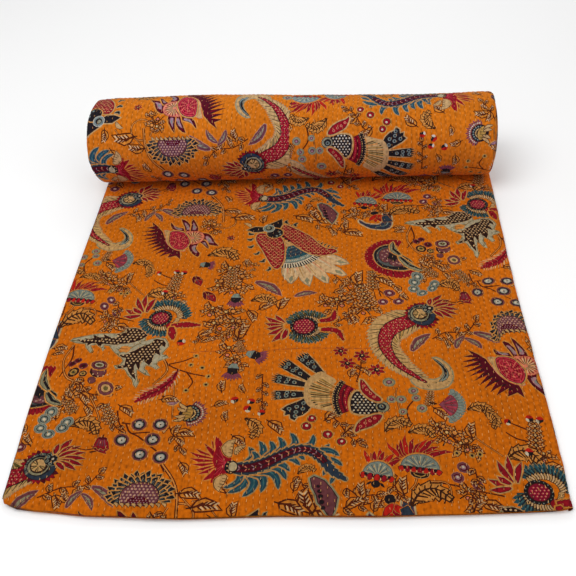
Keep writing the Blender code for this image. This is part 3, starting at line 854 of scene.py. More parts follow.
def crested(big):
    """A ribbed grey dome over black and red teeth, with crimson rays above; its middle is the dome's foot."""
    if big:
        wide, up, count, long, first, last, drift = 26, 21, 11, 40, 140, 28, -5
    else:
        wide, up, count, long, first, last, drift = 20, 20, 9, 29, 124, 48, 0
    for k in range(count):
        f = k / (count - 1)
        a = math.radians(first + (last - first) * f)
        base = complex(-wide * 0.45 + wide * 0.95 * f + drift, up * 0.7)
        ray("crimson" if k % 3 else "red", base,
            base + long * (0.75 + 0.35 * math.sin(2.3 * k + 1) ** 2) * turned(a), 6.8,
            0.16 if big else 0.06 * (-1) ** k, 0.6, 0.7, "peach", 0.3, "maroon")
    dome = np.concatenate((arc(0, wide, 0, 180, 12, up / wide * 1.1), xy(-wide * 0.5, -4, 0, -5,
            wide * 0.5, -4)))
    blob("grey", dome, 1.0, 1.0, "slate", "peach")
    for k in range(13):
        a = math.radians(8 + 164 * k / 12)
        end = wide * 0.86 * math.cos(a) + 1j * up * 0.95 * math.sin(a)
        stroke("slate" if k % 2 else "pale", (end * 0.25, end), (0.9, 1.5))
    teeth = 7 if big else 5
    for k in range(teeth):
        x = -wide * 0.95 + wide * 1.9 * k / (teeth - 1)
        ray("crimson" if k % 2 else "red", x + 1j, x * 1.02 - 11j + 1j * abs(x) * 0.12, 8.4, 0, 0.9, 0.0,
            "peach", 0.35, "black")
    for k in range(teeth - 1):
        x = -wide * 0.8 + wide * 1.6 * k / (teeth - 2)
        disc("black", x - 1j, 2.6, 6)
        disc("cream", x - 6j, 1.3, 5)
    if big:
        blob("brown", arc(-9j, 12, 180, 360, 8, 0.6), 0.8, 0.7, "black", "hair")
        stroke("tan", arc(-9j, 8, 190, 350, 6, 0.6), (1.4, 1.4))
    else:
        disc("black", -15j, 6.4, 9)
        ray("black", -6 - 12j, -13 - 19j, 4, 0, 0)
        ray("black", 6 - 12j, 13 - 19j, 4, 0, 0)


def twin_leaves():
    """Two brown spiky dotted leaves with wavy pale borders."""
    for pale, leaf_line in ((xy(-11, 8, -23, 21, -33, 24, -43, 22, -47, 14, -59, 7, -81, 4, -101, -1,
            -131, -11, -135, -16, -123, -21, -107, -23, -104, -32, -94, -45, -91, -38, -97, -26, -89, -23,
            -79, -30, -75, -39, -73, -32, -76, -23, -67, -23, -59, -34, -47, -46, -43, -38, -51, -30,
            -41, -22, -25, -19, -11, -4), xy(-10, 6.5, -16, 12, -23.5, 19, -32, 22, -39, 20.5, -46, 19,
            -43, 13, -49, 9, -59, 6, -56, -1, -67, -6, -74, -2, -82, 2, -78, -5, -87, -7.5, -99, -2,
            -95, -9, -103, -12, -111, -10, -107, -14, -125, -13, -111, -19.5, -103, -20, -103, -27,
            -97, -20, -88, -20, -82, -28, -80, -19, -67, -18.5, -58, -18, -49, -14.5, -39, -12, -30, -9,
            -21, -4.5, -16, -0.5)), (xy(21, 0, 27, -10, 29, -18, 23, -30, 21, -36, 29, -39, 32, -44,
            25, -47, 16, -52, 15, -58, 21, -65, 16, -69, 7, -63, -1, -60, -3, -67, 3, -75, 9, -82, 1, -81,
            -9, -74, -14, -71, -12, -84, -7, -98, -10, -107, -15, -102, -18, -92, -26, -85, -32, -75,
            -37, -72, -47, -76, -51, -70, -42, -64, -39, -54, -43, -48, -53, -40, -47, -36, -37, -30,
            -23, -14, -9, -6, 7, 2), xy(18, -4.5, 7, -2, 0, -6, -7, -12, -12, -18.5, -19, -23, -23.5, -28.5,
            -30.5, -32.5, -34.5, -38, -46, -42, -41, -46, -34.5, -45, -34.5, -56.5, -34, -64.5, -46, -70,
            -42, -73, -33.5, -68.5, -30, -65, -27, -73.5, -22, -82, -12, -92.5, -16.5, -82, -19.5, -73.5,
            -21, -62, -18, -56, -14, -65, -10, -72.5, -12, -58, -6.5, -45, -4, -52, 3.5, -60, 5.5, -52,
            6.5, -42, 8, -31, 12.5, -34, 18, -38, 14.5, -28.5, 13.5, -18.5, 17, -14, 23, -20, 22.5, -12))):
        blob("bone", turned_out(pale, -1.0), 1.0, 0.8, "olive", "hair")
        for k in range(3, len(pale) - 3, 2):
            stroke("olive" if k % 4 == 1 else "ash", (pale[k] * 0.98,
                    pale[k] + (pale.mean() - pale[k]) * 0.22), (2.0, 1.2))
        blob("brown", leaf_line, 0.9, 0.7, "black", "petal")
        dotted("petal", leaf_line, 6.3, 1.75, 6)
        dotted("black", leaf_line + 3.2, 6.3, 1.2, 4)
    blob("peach", smooth(xy(-47, -22, -37, -19, -32, -26, -37, -33, -47, -30), 2), 0.8, 0.0, "tan")
    stroke("twig", xy(-51, -25, -43, -26, -35, -25), (1.3, 1.0))
    ray("bone", 2 - 2j, -22 - 6j, 9, 0.25, 0.7, line="olive")


def ring_flower():
    """A crimson ring, open to the right, round a mauve and black core."""
    count = 30
    outer = [(45 + (2.6 if k % 2 else 0.0)) * toward(66 + 250 * k / (2 * count))
            for k in range(2 * count + 1)]
    blob("crimson", np.concatenate((outer, arc(0j, 24, 66, 316, 20)[::-1])), 0.4, 0.9, "maroon", "red")
    for k in range(34):
        a = math.radians(70 + 7.2 * k)
        stroke("maroon", (33 * turned(a), (42 + 2 * (k % 2)) * turned((a + 0.06))), (1.5, 1.0))
    for r, tone, wide in ((33, "rose", 1.3), (30.5, "cream", 1.6)):
        stroke(tone, arc(0j, r, 74, 308, 20), (wide, wide))
    blob("black", smooth(xy(6, 30, -14, 29, -28, 14, -29, -8, -18, -26, 4, -32, 24, -27, 32, -12, 20, 0,
            12, 14), 3), 0.6, 0.9, "black", "ash")
    blob("slate", smooth(xy(3, 26, -14, 24, -25, 11, -25, -8, -15, -22, 4, -27, 20, -23, 26, -12, 12, 0,
            8, 12), 3), 0.0)
    blob("dusk", smooth(xy(2, 22, -14, 20, -21, 8, -20, -8, -10, -17, 4, -8, 8, 8), 3), 0.9, line="black")
    blob("dusk", smooth(xy(8, -10, 20, -11, 25, -17, 17, -24, 3, -25, -5, -18), 3), 0.9, line="black")
    for c in xy(-12, 14, -16, 4, -15, -6, -6, 16, -8, -12, -8, 8, -11, -1, 14, -15, 20, -17, 8, -18, 2, -20,
            13, -20, -3, 13):
        ringed(c, ("lilac", 1.9, 6), ("cream", 0.9, 5))
    for k in range(9):
        ray("black", 3 - 2j, 3 - 2j + (14 if k % 2 else 10) * cmath.exp(2j * math.pi * k / 9), 7, 0, 0)
    for base, tip, side in ((16 + 2j, 4 + 42j, 0.16), (14 - 2j, 48 - 30j, -0.14)):
        ray("ash", base, tip, 10, side, 0.8, 1.0, "cream", 0.4, "black")
        stroke("black", (base + (tip - base) * 0.05, base + (tip - base) * (0.5 + 0.9j * side), tip),
               (4.6, 4.2, 0.8))


def six_berries():
    """Six black berries with white eyes on thin stems."""
    for line in (xy(-34, 30, -26, 14, -12, 6, 8, -12, 26, -28), xy(-50, 52, -44, 30, -34, 16),
                 xy(-40, 30, -20, 28), xy(24, -40, 32, -56), xy(-22, 12, 4, 14)):
        stem(line)
    for p in xy(-14, 28, 17, 28, -36, -1, 9, 1, -6, -26, 24, -31):
        disc("dusk", p, 11.0, 10, edge=0.0, halo=0.9, glow="rust")
        ringed(p, ("black", 8.8, 12), ("slate", 6.8, 10), ("silver", 5.6, 9))
        disc("white", p - 1.6 + 1j, 2.6, 7)
        disc("black", p + 0.4, 1.5, 5)


def teal_berries():
    """Six grey berries with white eyes."""
    for p in xy(1, 22, -6, 9, -8, -8, 6, -20, 29, 2, 24, -9):
        disc("grey", p, 8.6, 10, edge=0.8, halo=0.8, line="slate", glow="bone")
        ringed(p, ("black", 6.2, 9), ("grey", 4.8, 8), ("white", 2.6, 7))


def spiky_leaf():
    """A crimson leaf with pale bristles."""
    spine = smooth(xy(28, 42, 20, 20, 4, 0, -14, -12, -30, -26), 4, False)
    bristles(("petal", "hair", "scale"), spine, (3, 11, 15, 14, 6), (3, 11, 15, 14, 6), 30, 0.6, 1.9)
    blob("crimson", toothed(spine, (0, 4, 7, 6, 0), (0, 4, 6, 6, 0), 13, 2.4, 0.5), 0.5, line="maroon")
    stroke("maroon", spine[:-2], (3.0, 1.2))
    bristles(("scale", "rose"), spine[:-1], (1, 5, 8, 7, 2), (1, 5, 8, 7, 2), 12, 0.5, 0.8)


def half_flower():
    """A black and cream half flower with a mauve fringe."""
    for k in range(17):
        a = math.radians(-82 + 10.2 * k)
        ray("mauve" if k % 2 else "dusk", 10 * turned(a), (25 + 2 * (k % 2)) * turned(a), 6, 0, 0.5, 0.5,
            line="crimson")
    for k in range(15):
        disc("white", 19 * toward(-78 + 11.2 * k), 1.4, 5)
    disc("black", 0j, 16.5, 12)
    for k in range(9):
        a = math.radians(-85 + 21 * k)
        disc("grey", 12.5 * turned(a), 1.7, 5)
        disc("cream", 8 * turned(a), 1.5, 5)
    blob("tan", smooth(xy(-4, -14, 3, -6, 4, 4, -2, 13, -9, 6, -10, -6), 2), 1.0)
    for y in (-8, -3, 2, 7):
        stroke("olive", (-8 + 1j * y, 1 + 1j * y), (1.2, 0.9))
    for y in (-15, -8, 6, 14):
        ray("hair", -6 + 1j * y * 0.6, -21 + 1j * y * 1.2, 5.5, 0.1, 1.1)


def cup_flower():
    """A mauve fan with a pale blue scalloped rim, opening to the right."""
    root = -21 + 4j
    for k in range(14):
        a = math.radians(-58 + 9 * k)
        disc("grey", root + 34 * turned(a), 3.6, 7, edge=0.8, halo=0.7, line="sea")
    band("grey", root, 24, 35, -60, 62, 12, edge=0.0)
    for k in range(12):
        a = math.radians(-54 + 9.6 * k)
        stroke("slate", (root + 26 * turned(a), root + 34 * turned(a)), (1.2, 0.8))
    body = np.concatenate(([root], arc(root, 25.5, -50, 54, 10)))
    blob("mauve", body, 1.0, 0.0, "crimson")
    for k in range(9):
        a = math.radians(-44 + 11.5 * k)
        stroke(("rose", "dusk", "crimson")[k % 3], (root + 8 * turned(a), root + 25 * turned(a)), (0.9, 2.0))
    ray("edge", root - 3, root - 16 + 2j, 5, 0, 0)


def bud():
    """A bell-shaped bud, open downwards."""
    bell = xy(-6, 10, 0, 12, 6, 10, 9, 2, 12, -9, 7, -6, 4, -10, 0, -7, -4, -10, -7, -6, -12, -9, -9, 2)
    blob("crimson", bell, 1.0, 0.8, "maroon")
    for x, tone in ((-6, "dusk"), (-2.4, "mauve"), (1.4, "dusk"), (5, "mauve")):
        stroke(tone, (x * 0.6 + 9j, x * 1.1 - 5j), (1.4, 2.4))
    blob("maroon", xy(-6, 8, 0, 7, 6, 8, 5, 12, -5, 12), 0.0)
    stroke("twig", xy(0, 10, 1, 17), (2.4, 1.8))


def star():
    """A small seven-pointed flower."""
    for k in range(7):
        a = 2 * math.pi * k / 7 + 0.3
        ray("crimson", 2 * turned(a), 11.5 * turned(a), 4.6, 0, 0.8, 0.6, line="maroon")
    disc("black", 0j, 4.2, 7)
    disc("cream", 0.5 + 0.5j, 1.5, 5)


def red_berry():
    disc("crimson", 0j, 6.4, 10, edge=0.9, halo=0.9, glow="tan")
    disc("white", 0.6 + 1j, 2.4, 6)


def blue_berry():
    disc("ash", 0j, 7.0, 10, edge=0.7, halo=0.8, line="slate", glow="tan")
    disc("dusk", 0j, 4.0, 7)
    disc("lilac", 0.5j, 2.0, 6)


def small_flower():
    disc("dusk", 0j, 8.0, 10, edge=0.7, halo=0.7, line="mauve")
    ringed(0j, ("maroon", 5.6, 8), ("lilac", 3.6, 7))
    disc("white", 0.5j, 1.9, 6)


def seed():
    disc("tan", 0j, 4.4, 8, edge=0.0)
    disc("black", 0j, 2.2, 6)


def half_bud():
    put("black", arc(0j, 6, 180, 360, 6))
    put("red", arc(0j, 6.4, 0, 180, 6))
    ray("white", -5 + 1j, -3 - 7j, 5, 0, 0)


def crescent():
    """A dark blue crescent."""
    moon = smooth(xy(10, 30, 20, 26, 22, 0, 18, -16, 4, -22, -16, -18, -34, -2, -36, 8, -26, -4, -10, -9,
            2, -7, 8, 6, 8, 20), 3)
    blob("navy", moon, 1.0, 2.2, "mauve", "pale")
    stroke("grey", smooth(xy(14, 22, 16, 0, 10, -12, -8, -14), 3, False), (2.6, 1.0))
    dots("black", xy(15, 14, 15, 4, 12, -6, 2, -12), 1.6, 5)


def long_leaf():
    """A grey and mauve long leaf along x."""
    ray("dusk", -21, 21, 11.5, 0.10, 1.0, 0.8, "hair", 0.5, "mauve")
    ray("ash", -17, 16, 6.5, 0.10, 0.0)
    stroke("dusk", (-16, 1.6j, 16), (1.6, 1.0))
    for x in (-11, -4, 3, 10):
        for up in (5j, -3j):
            stroke("dusk", (x + 1j, x + 5 + up), (1.2, 0.8))


def veined():
    """A single leaf on a short stalk."""
    leaf(-10.5, 10.5, 10.5, 0.16, veins=4)
    stroke("edge", (-14.5 - 1j, -9.5), (1.2, 1.4))


def plumy():
    """A curled leaf with barbs to both sides."""
    spine = smooth(xy(-15, -7, -6, 4, 6, 6, 16, -3), 3, False)
    blob("foliage", toothed(spine, (0, 3.5, 4.5, 3.5, 0), (0, 8, 9, 7, 0), 7, 2.2, 0.5), 1.3)
    stroke("edge", spine, (2.0, 1.1))
    for i in range(1, len(spine) - 1):
        way = unit(spine[i + 1] - spine[i - 1])
        stroke("edge", (spine[i], spine[i] - 1j * way * 7.5 + way * 3.5), (1.7, 1.2))
        stroke("edge", (spine[i], spine[i] + 1j * way * 3.5 + way * 2), (1.3, 1.0))


def brush():
    """Black and mauve brush flower, pointing along x."""
    for k in range(7):
        a = math.radians(-42 + 14 * k)
        ray("mauve", 2 + 4 * turned(a), 24 * turned(a), 6, 0, 0.3, line="maroon")
    blob("black", xy(-2, -9, 8, -8, 12, 0, 8, 8, -2, 9), 0.0)
    blob("grey", xy(-12, -4, -2, -9, -2, 9, -12, 4), 0.6)


def cluster():
    """A tangle of small dark-lined leaves, buds and twigs."""
    stroke("edge", smooth((-18 - 8j, -5 + 2j, 7 - 2j, 18 + 7j), 3, False), (1.9, 1.2))
    stroke("edge", smooth((-8 + 17j, -2 + 2j, 3 - 15j), 3, False), (1.9, 1.2))
    for k in range(9):
        a = 2.1 * k + 0.4
        root = (4 + 7 * (k % 3)) * turned(a) * 0.8
        leaf(root, root + (14 + 4 * (k % 2)) * turned((a + 0.7 * (-1) ** k)), 8.0, 0.16, veins=2)
    for c, tone, r in ((5 + 5j, "peach", 3.0), (-7 - 5j, "scale", 2.4), (-4 + 9j, "cream", 2.2)):
        disc(tone, c, r, 7, edge=1.3)


def lace():
    """A tall frond of small rings and barbs, up along y."""
    stroke("edge", (-26j, 26j), (2.2, 1.4))
    for k in range(6):
        y = -21 + 8.4 * k
        for side in (1, -1):
            leaf(1j * y, 1j * y + (side * 15 + 6j) * (1 - 0.08 * k), 7.5, 0.15 * side, veins=2)
        disc("hair", 1j * (y + 4), 2.2, 6, edge=1.2)


# ---------------------------------------------------------------- the repeat
# kind, then places: (x, y, degrees, size)
BIG = (
    (fan_flower, (65, 200, 0, 1)), (winged_flower, (-8, 560, 0, 1)), (curved_plume, (230, 382, 0, 1)),
    (wreath_flower, (-212, 371, 0, 1)), (lambda: wreath_flower(True), (28, 346, 0, 1)),
    (hand_plume, (-72, 70, 0, 1)), (thistle, (-191, 13, 0, 0.82)), (pink_flower, (-205, 575, 0, 1)),
    (lambda: crested(False), (130, 54, -12, 1)), (lambda: crested(True), (188, 66, -6, 1)),
    (twin_leaves, (-215, 322, 0, 1)), (ring_flower, (178, 522, 0, 1)), (six_berries, (-195, 116, 0, 1)),
    (teal_berries, (-345, 146, 0, 1)), (spiky_leaf, (-192, 212, 0, 1)), (half_flower, (-137, 165, -10, 1)),
    (cup_flower, (246, 172, -8, 1)), (crescent, (160, 622, 0, 1)),
)
SMALL = ((cluster, (-120, 380, 0, 1.2), (-92, 374, 30, 1.25), (-108, 352, 50, 1.2), (-82, 352, 20, 1.1),
        (-96, 328, 80, 0.8), (-84, 290, 10, 1.2), (-76, 272, 40, 0.9), (70, 402, 0, 1.1), (92, 408, 40,
        1.3), (130, 388, 10, 1.2), (238, 120, 20, 1.1), (222, 134, 0, 0.9), (256, 108, 50, 0.9),
        (-100, 482, 0, 1.35), (-84, 462, 30, 1.3), (-112, 452, 90, 1.2), (-90, 436, 10, 1.2),
        (-150, 612, 10, 1.0), (254, 30, 0, 1.0), (360, 96, 0, 0.8), (-64, 500, 0, 0.6), (-318, 190, 0, 0.9),
        (110, 452, 0, 0.9)), (lace, (127, 420, 15, 1.2), (-318, 176, 40, 0.7), (-255, 158, 30, 0.8),
        (140, 462, 0, 0.9), (-100, 466, 0, 0.9), (213, 190, -10, 0.6), (352, 130, -10, 0.9), (-72, 300, 20,
        0.5)), (plumy, (-288, 139, -28, 1.45), (161, 142, 12, 1.25), (196, 130, -18, 1.15), (284, 170, -20,
        1.15), (296, 155, -75, 1.05), (-40, 410, -20, 1.3), (-120, 531, -18, 1.7), (197, 22, 8, 1.75),
        (330, 98, -15, 1.45), (-44, 138, -80, 1.2), (-150, 500, 10, 0.7), (40, 700, 10, 0.8)),
        (veined, (-232, 167, -45, 1.3), (-92, 219, 80, 1.1), (-92, 181, 10, 1.0), (-83, 160, 85, 0.9),
        (-62, 214, 100, 0.9), (-138, 64, -75, 1.1), (-12, 136, -55, 1.4), (225, 160, -60, 1.3),
        (268, 133, 75, 1.3), (366, 78, -15, 1.4), (-5, 402, 55, 1.5), (106, 366, -80, 1.2), (-68, 336, 60,
        1.7), (-60, 370, -75, 1.4), (-34, 393, 25, 1.3), (66, 626, -25, 1.9), (100, 616, 75, 1.3),
        (112, 588, -25, 1.7), (72, 596, -80, 1.2), (-75, 508, 80, 1.0), (120, 470, 75, 1.7), (158, 462, -40,
        1.6), (110, 30, 85, 1.3), (38, 14, 100, 1.9), (14, -2, -35, 1.8), (-60, 0, 75, 1.2),
        (-98, 0, -5, 1.9), (-122, 20, -14, 1.5), (246, 314, -80, 1.2), (260, 324, 110, 1.0), (277, 331, 60,
        1.1), (-64, 110, -60, 1.3), (-76, 38, 100, 1.2), (88, 432, 10, 1.1), (-140, 125, -10, 1.3),
        (-152, 134, 60, 1.0), (-148, 112, -60, 1.0), (37, 656, 90, 1.1), (195, 592, 0, 0.9),
        (-360, 290, -10, 1.1), (-366, 116, 105, 1.2), (-300, 184, -60, 1.2), (-322, 196, 120, 1.1),
        (-290, 164, -70, 1.1), (-332, 166, 80, 1.0), (100, 132, 20, 1.2), (72, 158, 30, 1.2),
        (22, 38, 60, 1.0), (100, 8, 20, 1.3), (128, 6, 60, 1.0), (166, 38, 80, 1.4), (280, 14, -20, 1.5),
        (262, 16, 40, 1.1), (-130, 330, 20, 1.2), (-125, 315, 10, 1.0), (175, 447, -70, 1.1),
        (-170, 190, -10, 1.2), (104, 244, 60, 1.0), (122, 246, -60, 1.0)), (bud, (-259, 106, 0, 1),
        (298, 411, 90, 0.9)), (star, (85, 291, 0, 1), (117, 282, 20, 1.1), (95, 264, 40, 1.1),
        (138, 252, 10, 1.1), (-112, 578, 0, 0.7)), (red_berry, (41, 153, 0, 0.9), (33, 139, 0, 1),
        (63, 124, 0, 1), (82, 111, 0, 0.9)), (blue_berry, (155, 226, 0, 1.2), (190, 208, 0, 1),
        (157, 191, 0, 0.9), (171, 191, 0, 1), (193, 193, 0, 0.9), (200, 172, 0, 1), (172, 167, 0, 0.8)),
        (small_flower, (237, 55, 0, 1), (246, 72, 0, 1), (262, 48, 0, 0.9), (165, 435, 0, 1.1),
        (155, 410, 0, 1), (180, 411, 0, 1.1)), (seed, (240, 94, 0, 1), (260, 92, 0, 1), (271, 95, 0, 1),
        (-140, 281, 0, 1.1), (-146, 262, 0, 1.1), (-128, 256, 0, 1.1), (-117, 238, 0, 1.1), (-148, 210, 0,
        1.1), (-119, 221, 0, 1.1)), (half_bud, (-73, 190, 20, 1), (-48, 187, -20, 0.9), (-53, 173, 60, 1),
        (-32, 165, 0, 0.9), (350, 157, 10, 0.9), (364, 155, 0, 0.9), (318, 150, 60, 0.8), (-168, 312, 180,
        1.1), (338, 105, 0, 0.9)), (long_leaf, (-343, 640, 50, 1.15), (-277, 645, 60, 0.75),
        (-258, 641, -50, 0.75), (-236, 652, -35, 1.1), (-34, 438, -38, 1.35), (30, 424, 14, 0.9),
        (62, 665, -55, 0.9)), (brush, (-50, 283, -22, 1), (-80, 252, -95, 1), (-88, 414, -90, 0.95),
        (-150, 502, -10, 0.8)),)


def sprigs():
    """Stems and leafy sprigs between the motifs."""
    stem(xy(-340, 298, -349, 262, -336, 226, -308, 206, -286, 182, -270, 152, -266, 118), 2.4)
    stem(xy(-264, 98, -280, 92, -300, 96), 1.3)
    for c, r in ((-332 + 253j, 5.5), (-324 + 259j, 5), (-313 + 245j, 6)):
        disc("dusk", c, r + 1.6, 9)
        disc("maroon", c, r, 8)
        disc("brown", c + 1, r * 0.5, 6)
    blob("dusk", smooth(xy(-296, 240, -276, 240, -277, 228, -286, 224, -295, 230), 2), 0.8, line="maroon")
    for p in xy(-294, 227, -286, 224, -278, 227, -272, 230):
        disc("petal", p, 1.5, 5)
    disc("dusk", -288 + 248j, 12.5, 10, squeeze=0.85, halo=0.9, edge=0.5, line="maroon")
    for paint, radius, n, squeeze in (("maroon", 10, 10, 0.8), ("bone", 7.5, 9, 0.8), ("olive", 5.5, 8, 0.6),
                                      ("black", 3.4, 6, 0.4)):
        disc(paint, -288 + 248j, radius, n, squeeze)
    sprig(xy(-306, 214, -318, 200, -334, 166), 3, 14, 6)
    sprig(xy(-268, 178, -256, 152, -236, 132), 4, 13, 6)
    for line, width in ((xy(-172, 244, -166, 210, -164, 180, -162, 155), 1.8),
            (xy(-192, 280, -180, 262, -152, 247, -122, 238), 1.6), (xy(-192, 280, -182, 250, -200, 222),
            2.4), (xy(-182, 264, -160, 270, -142, 280), 1.4), (xy(-152, 248, -140, 228, -146, 212), 1.4),
            (xy(-182, 200, -172, 188, -152, 186), 1.6), (xy(-168, 74, -150, 48, -140, 22, -137, -14), 3.0),
            (xy(-138, 24, -120, 4, -106, -4), 1.8)):
        stem(line, width)
    for line, leaves, size, width in ((xy(-166, 142, -156, 122, -144, 100), 3, 14, 6),
            (xy(-34, 240, -33, 205, -32, 178), 4, 12, 5.5), (xy(60, 162, 78, 148, 92, 122, 108, 108), 6, 13,
            6)):
        sprig(line, leaves, size, width)
    for line, width in ((xy(166, 132, 168, 165, 164, 200, 166, 214), 1.8),
            (xy(182, 142, 178, 170, 190, 190), 1.6), (xy(200, 170, 212, 182, 218, 196), 1.4)):
        stem(line, width)
    sprig(xy(212, 152, 226, 132, 244, 114, 262, 106), 5, 13, 6)
    stem(xy(266, 124, 276, 114, 302, 96), 1.8)
    sprig(xy(346, 74, 350, 110, 352, 142), 6, 14, 6.5)
    for line, width in ((xy(350, 136, 330, 144, 318, 150), 1.4), (xy(348, 118, 326, 124, 312, 132), 1.4),
            (xy(212, 44, 250, 40, 296, 36), 1.6)):
        stem(line, width)
    for line, leaves, size, width in ((xy(88, 32, 106, 22, 128, 22), 3, 14, 6.5),
            (xy(84, 2, 104, 6, 134, 12), 3, 14, 6), (xy(156, 52, 150, 34, 160, 20), 3, 14, 6.5)):
        sprig(line, leaves, size, width)
    stem(xy(174, 26, 200, 44, 224, 42, 226, 14), 2.0)
    stem(xy(184, 54, 180, 40, 172, 30), 2.0)
    disc("black", 145 + 15j, 7.5, 9, edge=0.6, halo=0.7)
    for a in (-95, -70, -45, -125):
        ray("red" if a % 2 else "crimson", 148 + 8j, 148 + 8j + 24 * toward(a), 9, 0, 0.7, 0.6, line="maroon")
    blob("navy", xy(158, 0, 168, 6, 178, -14, 160, -16), 0.8, 0.8)
    ray("dusk", 42 + 50j, 66 - 14j, 24, 0.10, 1.2, 2.4, "ash", 0.6, "black")
    for y, s in ((36, 2.4), (28, 3.0), (20, 3.6), (11, 3.6), (2, 3.0)):
        disc("black", 53 + 0.2 * (20 - y) + 1j * y, s, 7, edge=0.5, line="maroon")
    for line, leaves, size, width in ((xy(76, 352, 92, 366, 108, 392), 3, 12, 6),
            (xy(56, 400, 84, 410, 118, 404, 142, 388), 6, 14, 6.5), (xy(76, 476, 98, 446, 108, 412,
            102, 366), 7, 15, 7)):
        sprig(line, leaves, size, width)
    leaf(112 + 452j, 140 + 392j, 25, 0.1, veins=7)
    stem(xy(152, 470, 148, 448, 152, 424), 1.4)
    stem(xy(150, 440, 166, 420, 178, 412), 1.4)
    sprig(xy(108, 226, 114, 250, 116, 272), 3, 10, 5)
    stem(xy(114, 250, 100, 262), 1.4)
    stem(xy(116, 244, 136, 252), 1.4)
    sprig(xy(222, 322, 250, 338, 282, 342, 302, 364), 5, 14, 6.5)
    stem(xy(282, 400, 296, 405), 1.4)
    stem(xy(160, 602, 146, 640, 126, 652), 1.8)
    for line, leaves, size, width in ((xy(-288, 396, -286, 374, -296, 352), 4, 12, 6),
            (xy(-130, 392, -104, 372, -82, 336, -74, 310), 6, 13, 6), (xy(-106, 330, -122, 322, -140, 316),
            3, 11, 5)):
        sprig(line, leaves, size, width)
    for base, tip, wide in ((-166 + 470j, -152 + 446j, 14), (-144 + 430j, -122 + 406j, 14)):
        ray("crimson", base, tip, wide, 0.05, 1.0, 0.7, "peach", 0.5, "maroon")
        stroke("dusk", (base + (tip - base) * 0.15, base + (tip - base) * 0.8), (3.0, 1.4))
        for side in (0.5, -0.5):
            ray("maroon", base, base + (tip - base) * 0.6 * turned(side), 6, 0, 0.5, 0.6)
    stem(arc(-127 + 626j, 20, 100, -220, 10), 2.2)
    stem(xy(-112, 650, -92, 644, -76, 624), 1.8)
    for line, leaves, size, width in ((xy(-148, 630, -152, 612, -140, 600), 3, 12, 5),
            (xy(30, 688, 42, 660, 48, 632), 4, 12, 5.5), (xy(46, 618, 76, 602, 100, 600), 3, 14, 6)):
        sprig(line, leaves, size, width)
    stem(xy(216, 610, 220, 575, 206, 545), 1.6)
    sprig(xy(232, 530, 248, 512, 276, 504, 300, 518), 6, 12, 6)
    for c, r in ((230 + 545j, 9), (246 + 540j, 6), (268 + 546j, 12)):
        disc("brown", c, r, 10, edge=0.6, halo=0.8, line="maroon")
        disc("tan", c, r * 0.66, 8, edge=0.8)
        ringed(c, ("olive", r * 0.4, 7), ("black", r * 0.2, 5))
    disc("dusk", 262 + 528j, 6, 8, edge=0.8)
    disc("dusk", -270 + 205j, 12, 10, halo=0.9, edge=0.6, line="maroon")
    disc("hair", -270 + 205j, 7.5, 9, edge=1.0, line="maroon")
    disc("olive", -270 + 205j, 4, 8)
    ray("lilac", -172 + 186j, -156 + 188j, 10, 0, 1.0, 1.0, "cream", 0.5, "mauve")


def placed(kind, x, y, degrees, size):
    """Draws a motif at a place of the repeat, turned and sized."""
    start = len(shapes)
    kind()
    for k in range(start, len(shapes)):
        paint, points = shapes[k]
        shapes[k] = (paint, x + 1j * y + points * (toward(degrees) * size))


def build():
    """The whole repeat: sprigs first, the biggest motifs on top."""
    shapes.clear()
    sprigs()
    for kind, *places in SMALL + BIG:
        for place in places:
            placed(kind, *place)
    return list(shapes)


# ---------------------------------------------------------------- the print on the cloth
def linear(paint):
    """The paint in linear light."""
    c = np.array(PAINT[paint]) / 255
    return np.where(c <= 0.04045, c / 12.92, ((c + 0.055) / 1.055) ** 2.4)


LINEAR = {paint: linear(paint) for paint in PAINT}
PAINT_NAMES = ["ground"] + [paint for paint in PAINT if paint != "ground"]
# how far the stitching has drawn the print out of its repeat: place (mm) and shift (mm)
DRAWN = np.array(((-326, 70, 0, 10), (-319, 707, 9, 12), (-184, 659, -3, 10), (365, 334, -13, 13),
        (342, 253, -2, -5), (346, 682, -2, -10), (339, 45, 1, -18), (331, 586, 6, -4), (-373, 210, 5, 0),
        (364, 524, -6, -19), (210, 457, 9, -17), (354, 429, -11, -4), (140, 708, -2, -11), (193, 710, 1,
        -12), (-363, 398, 5, 28), (-304, 497, 4, 18), (-85, 716, 2, -2), (65, 200, 0, 0), (-8, 560, 0, 0),
        (230, 382, 0, 0), (-212, 371, 0, 0), (28, 346, 0, 0), (-72, 70, 0, 0), (-190, 0, 0, 0),
        (-205, 575, 0, 0), (150, 60, 0, 0), (-215, 300, 0, 0), (178, 522, 0, 0), (-195, 116, 0, 0),
        (-345, 146, 0, 0), (-192, 212, 0, 0), (-137, 165, 0, 0), (245, 172, 0, 0), (160, 622, 0, 0),
        (312, 328, 5, -16), (272, 318, 0, -14), (-308, 232, -2, 18), (-292, 12, 6, 8), (222, 314, 8, -8)),
        float)


# painted light and shade along the cloth, darker towards the front hem and lighter near the roll's foot and
# on its lower front: place along the cloth (mm), then red, green and blue factors of the print and of the
# ground
TOP_PAINTED_LIGHT = np.array((
    (0, 0.83, 0.73, 0.60, 0.87, 0.70, 0.34), (150, 0.85, 0.75, 0.61, 0.88, 0.71, 0.36),
    (330, 0.93, 0.82, 0.67, 0.98, 0.79, 0.38), (620, 1.02, 0.91, 0.74, 0.98, 0.84, 0.60),
    (720, 1.16, 1.03, 0.93, 1.16, 0.94, 1.15), (806, 1.36, 1.22, 1.25, 1.48, 1.08, 2.20)))
ROLL_PAINTED_LIGHT = np.array((
    (780, 1.05, 1.05, 1.05, 1.10, 0.96, 1.8), (980, 1.09, 1.11, 1.12, 1.10, 1.09, 1.6),
    (1060, 1.13, 1.12, 1.15, 1.12, 1.10, 1.9), (1200, 1.13, 1.08, 1.22, 1.10, 1.01, 2.9),
    (1260, 1.30, 1.17, 1.32, 1.52, 1.25, 2.8), (1360, 1.42, 1.25, 1.36, 1.75, 1.32, 2.8)))


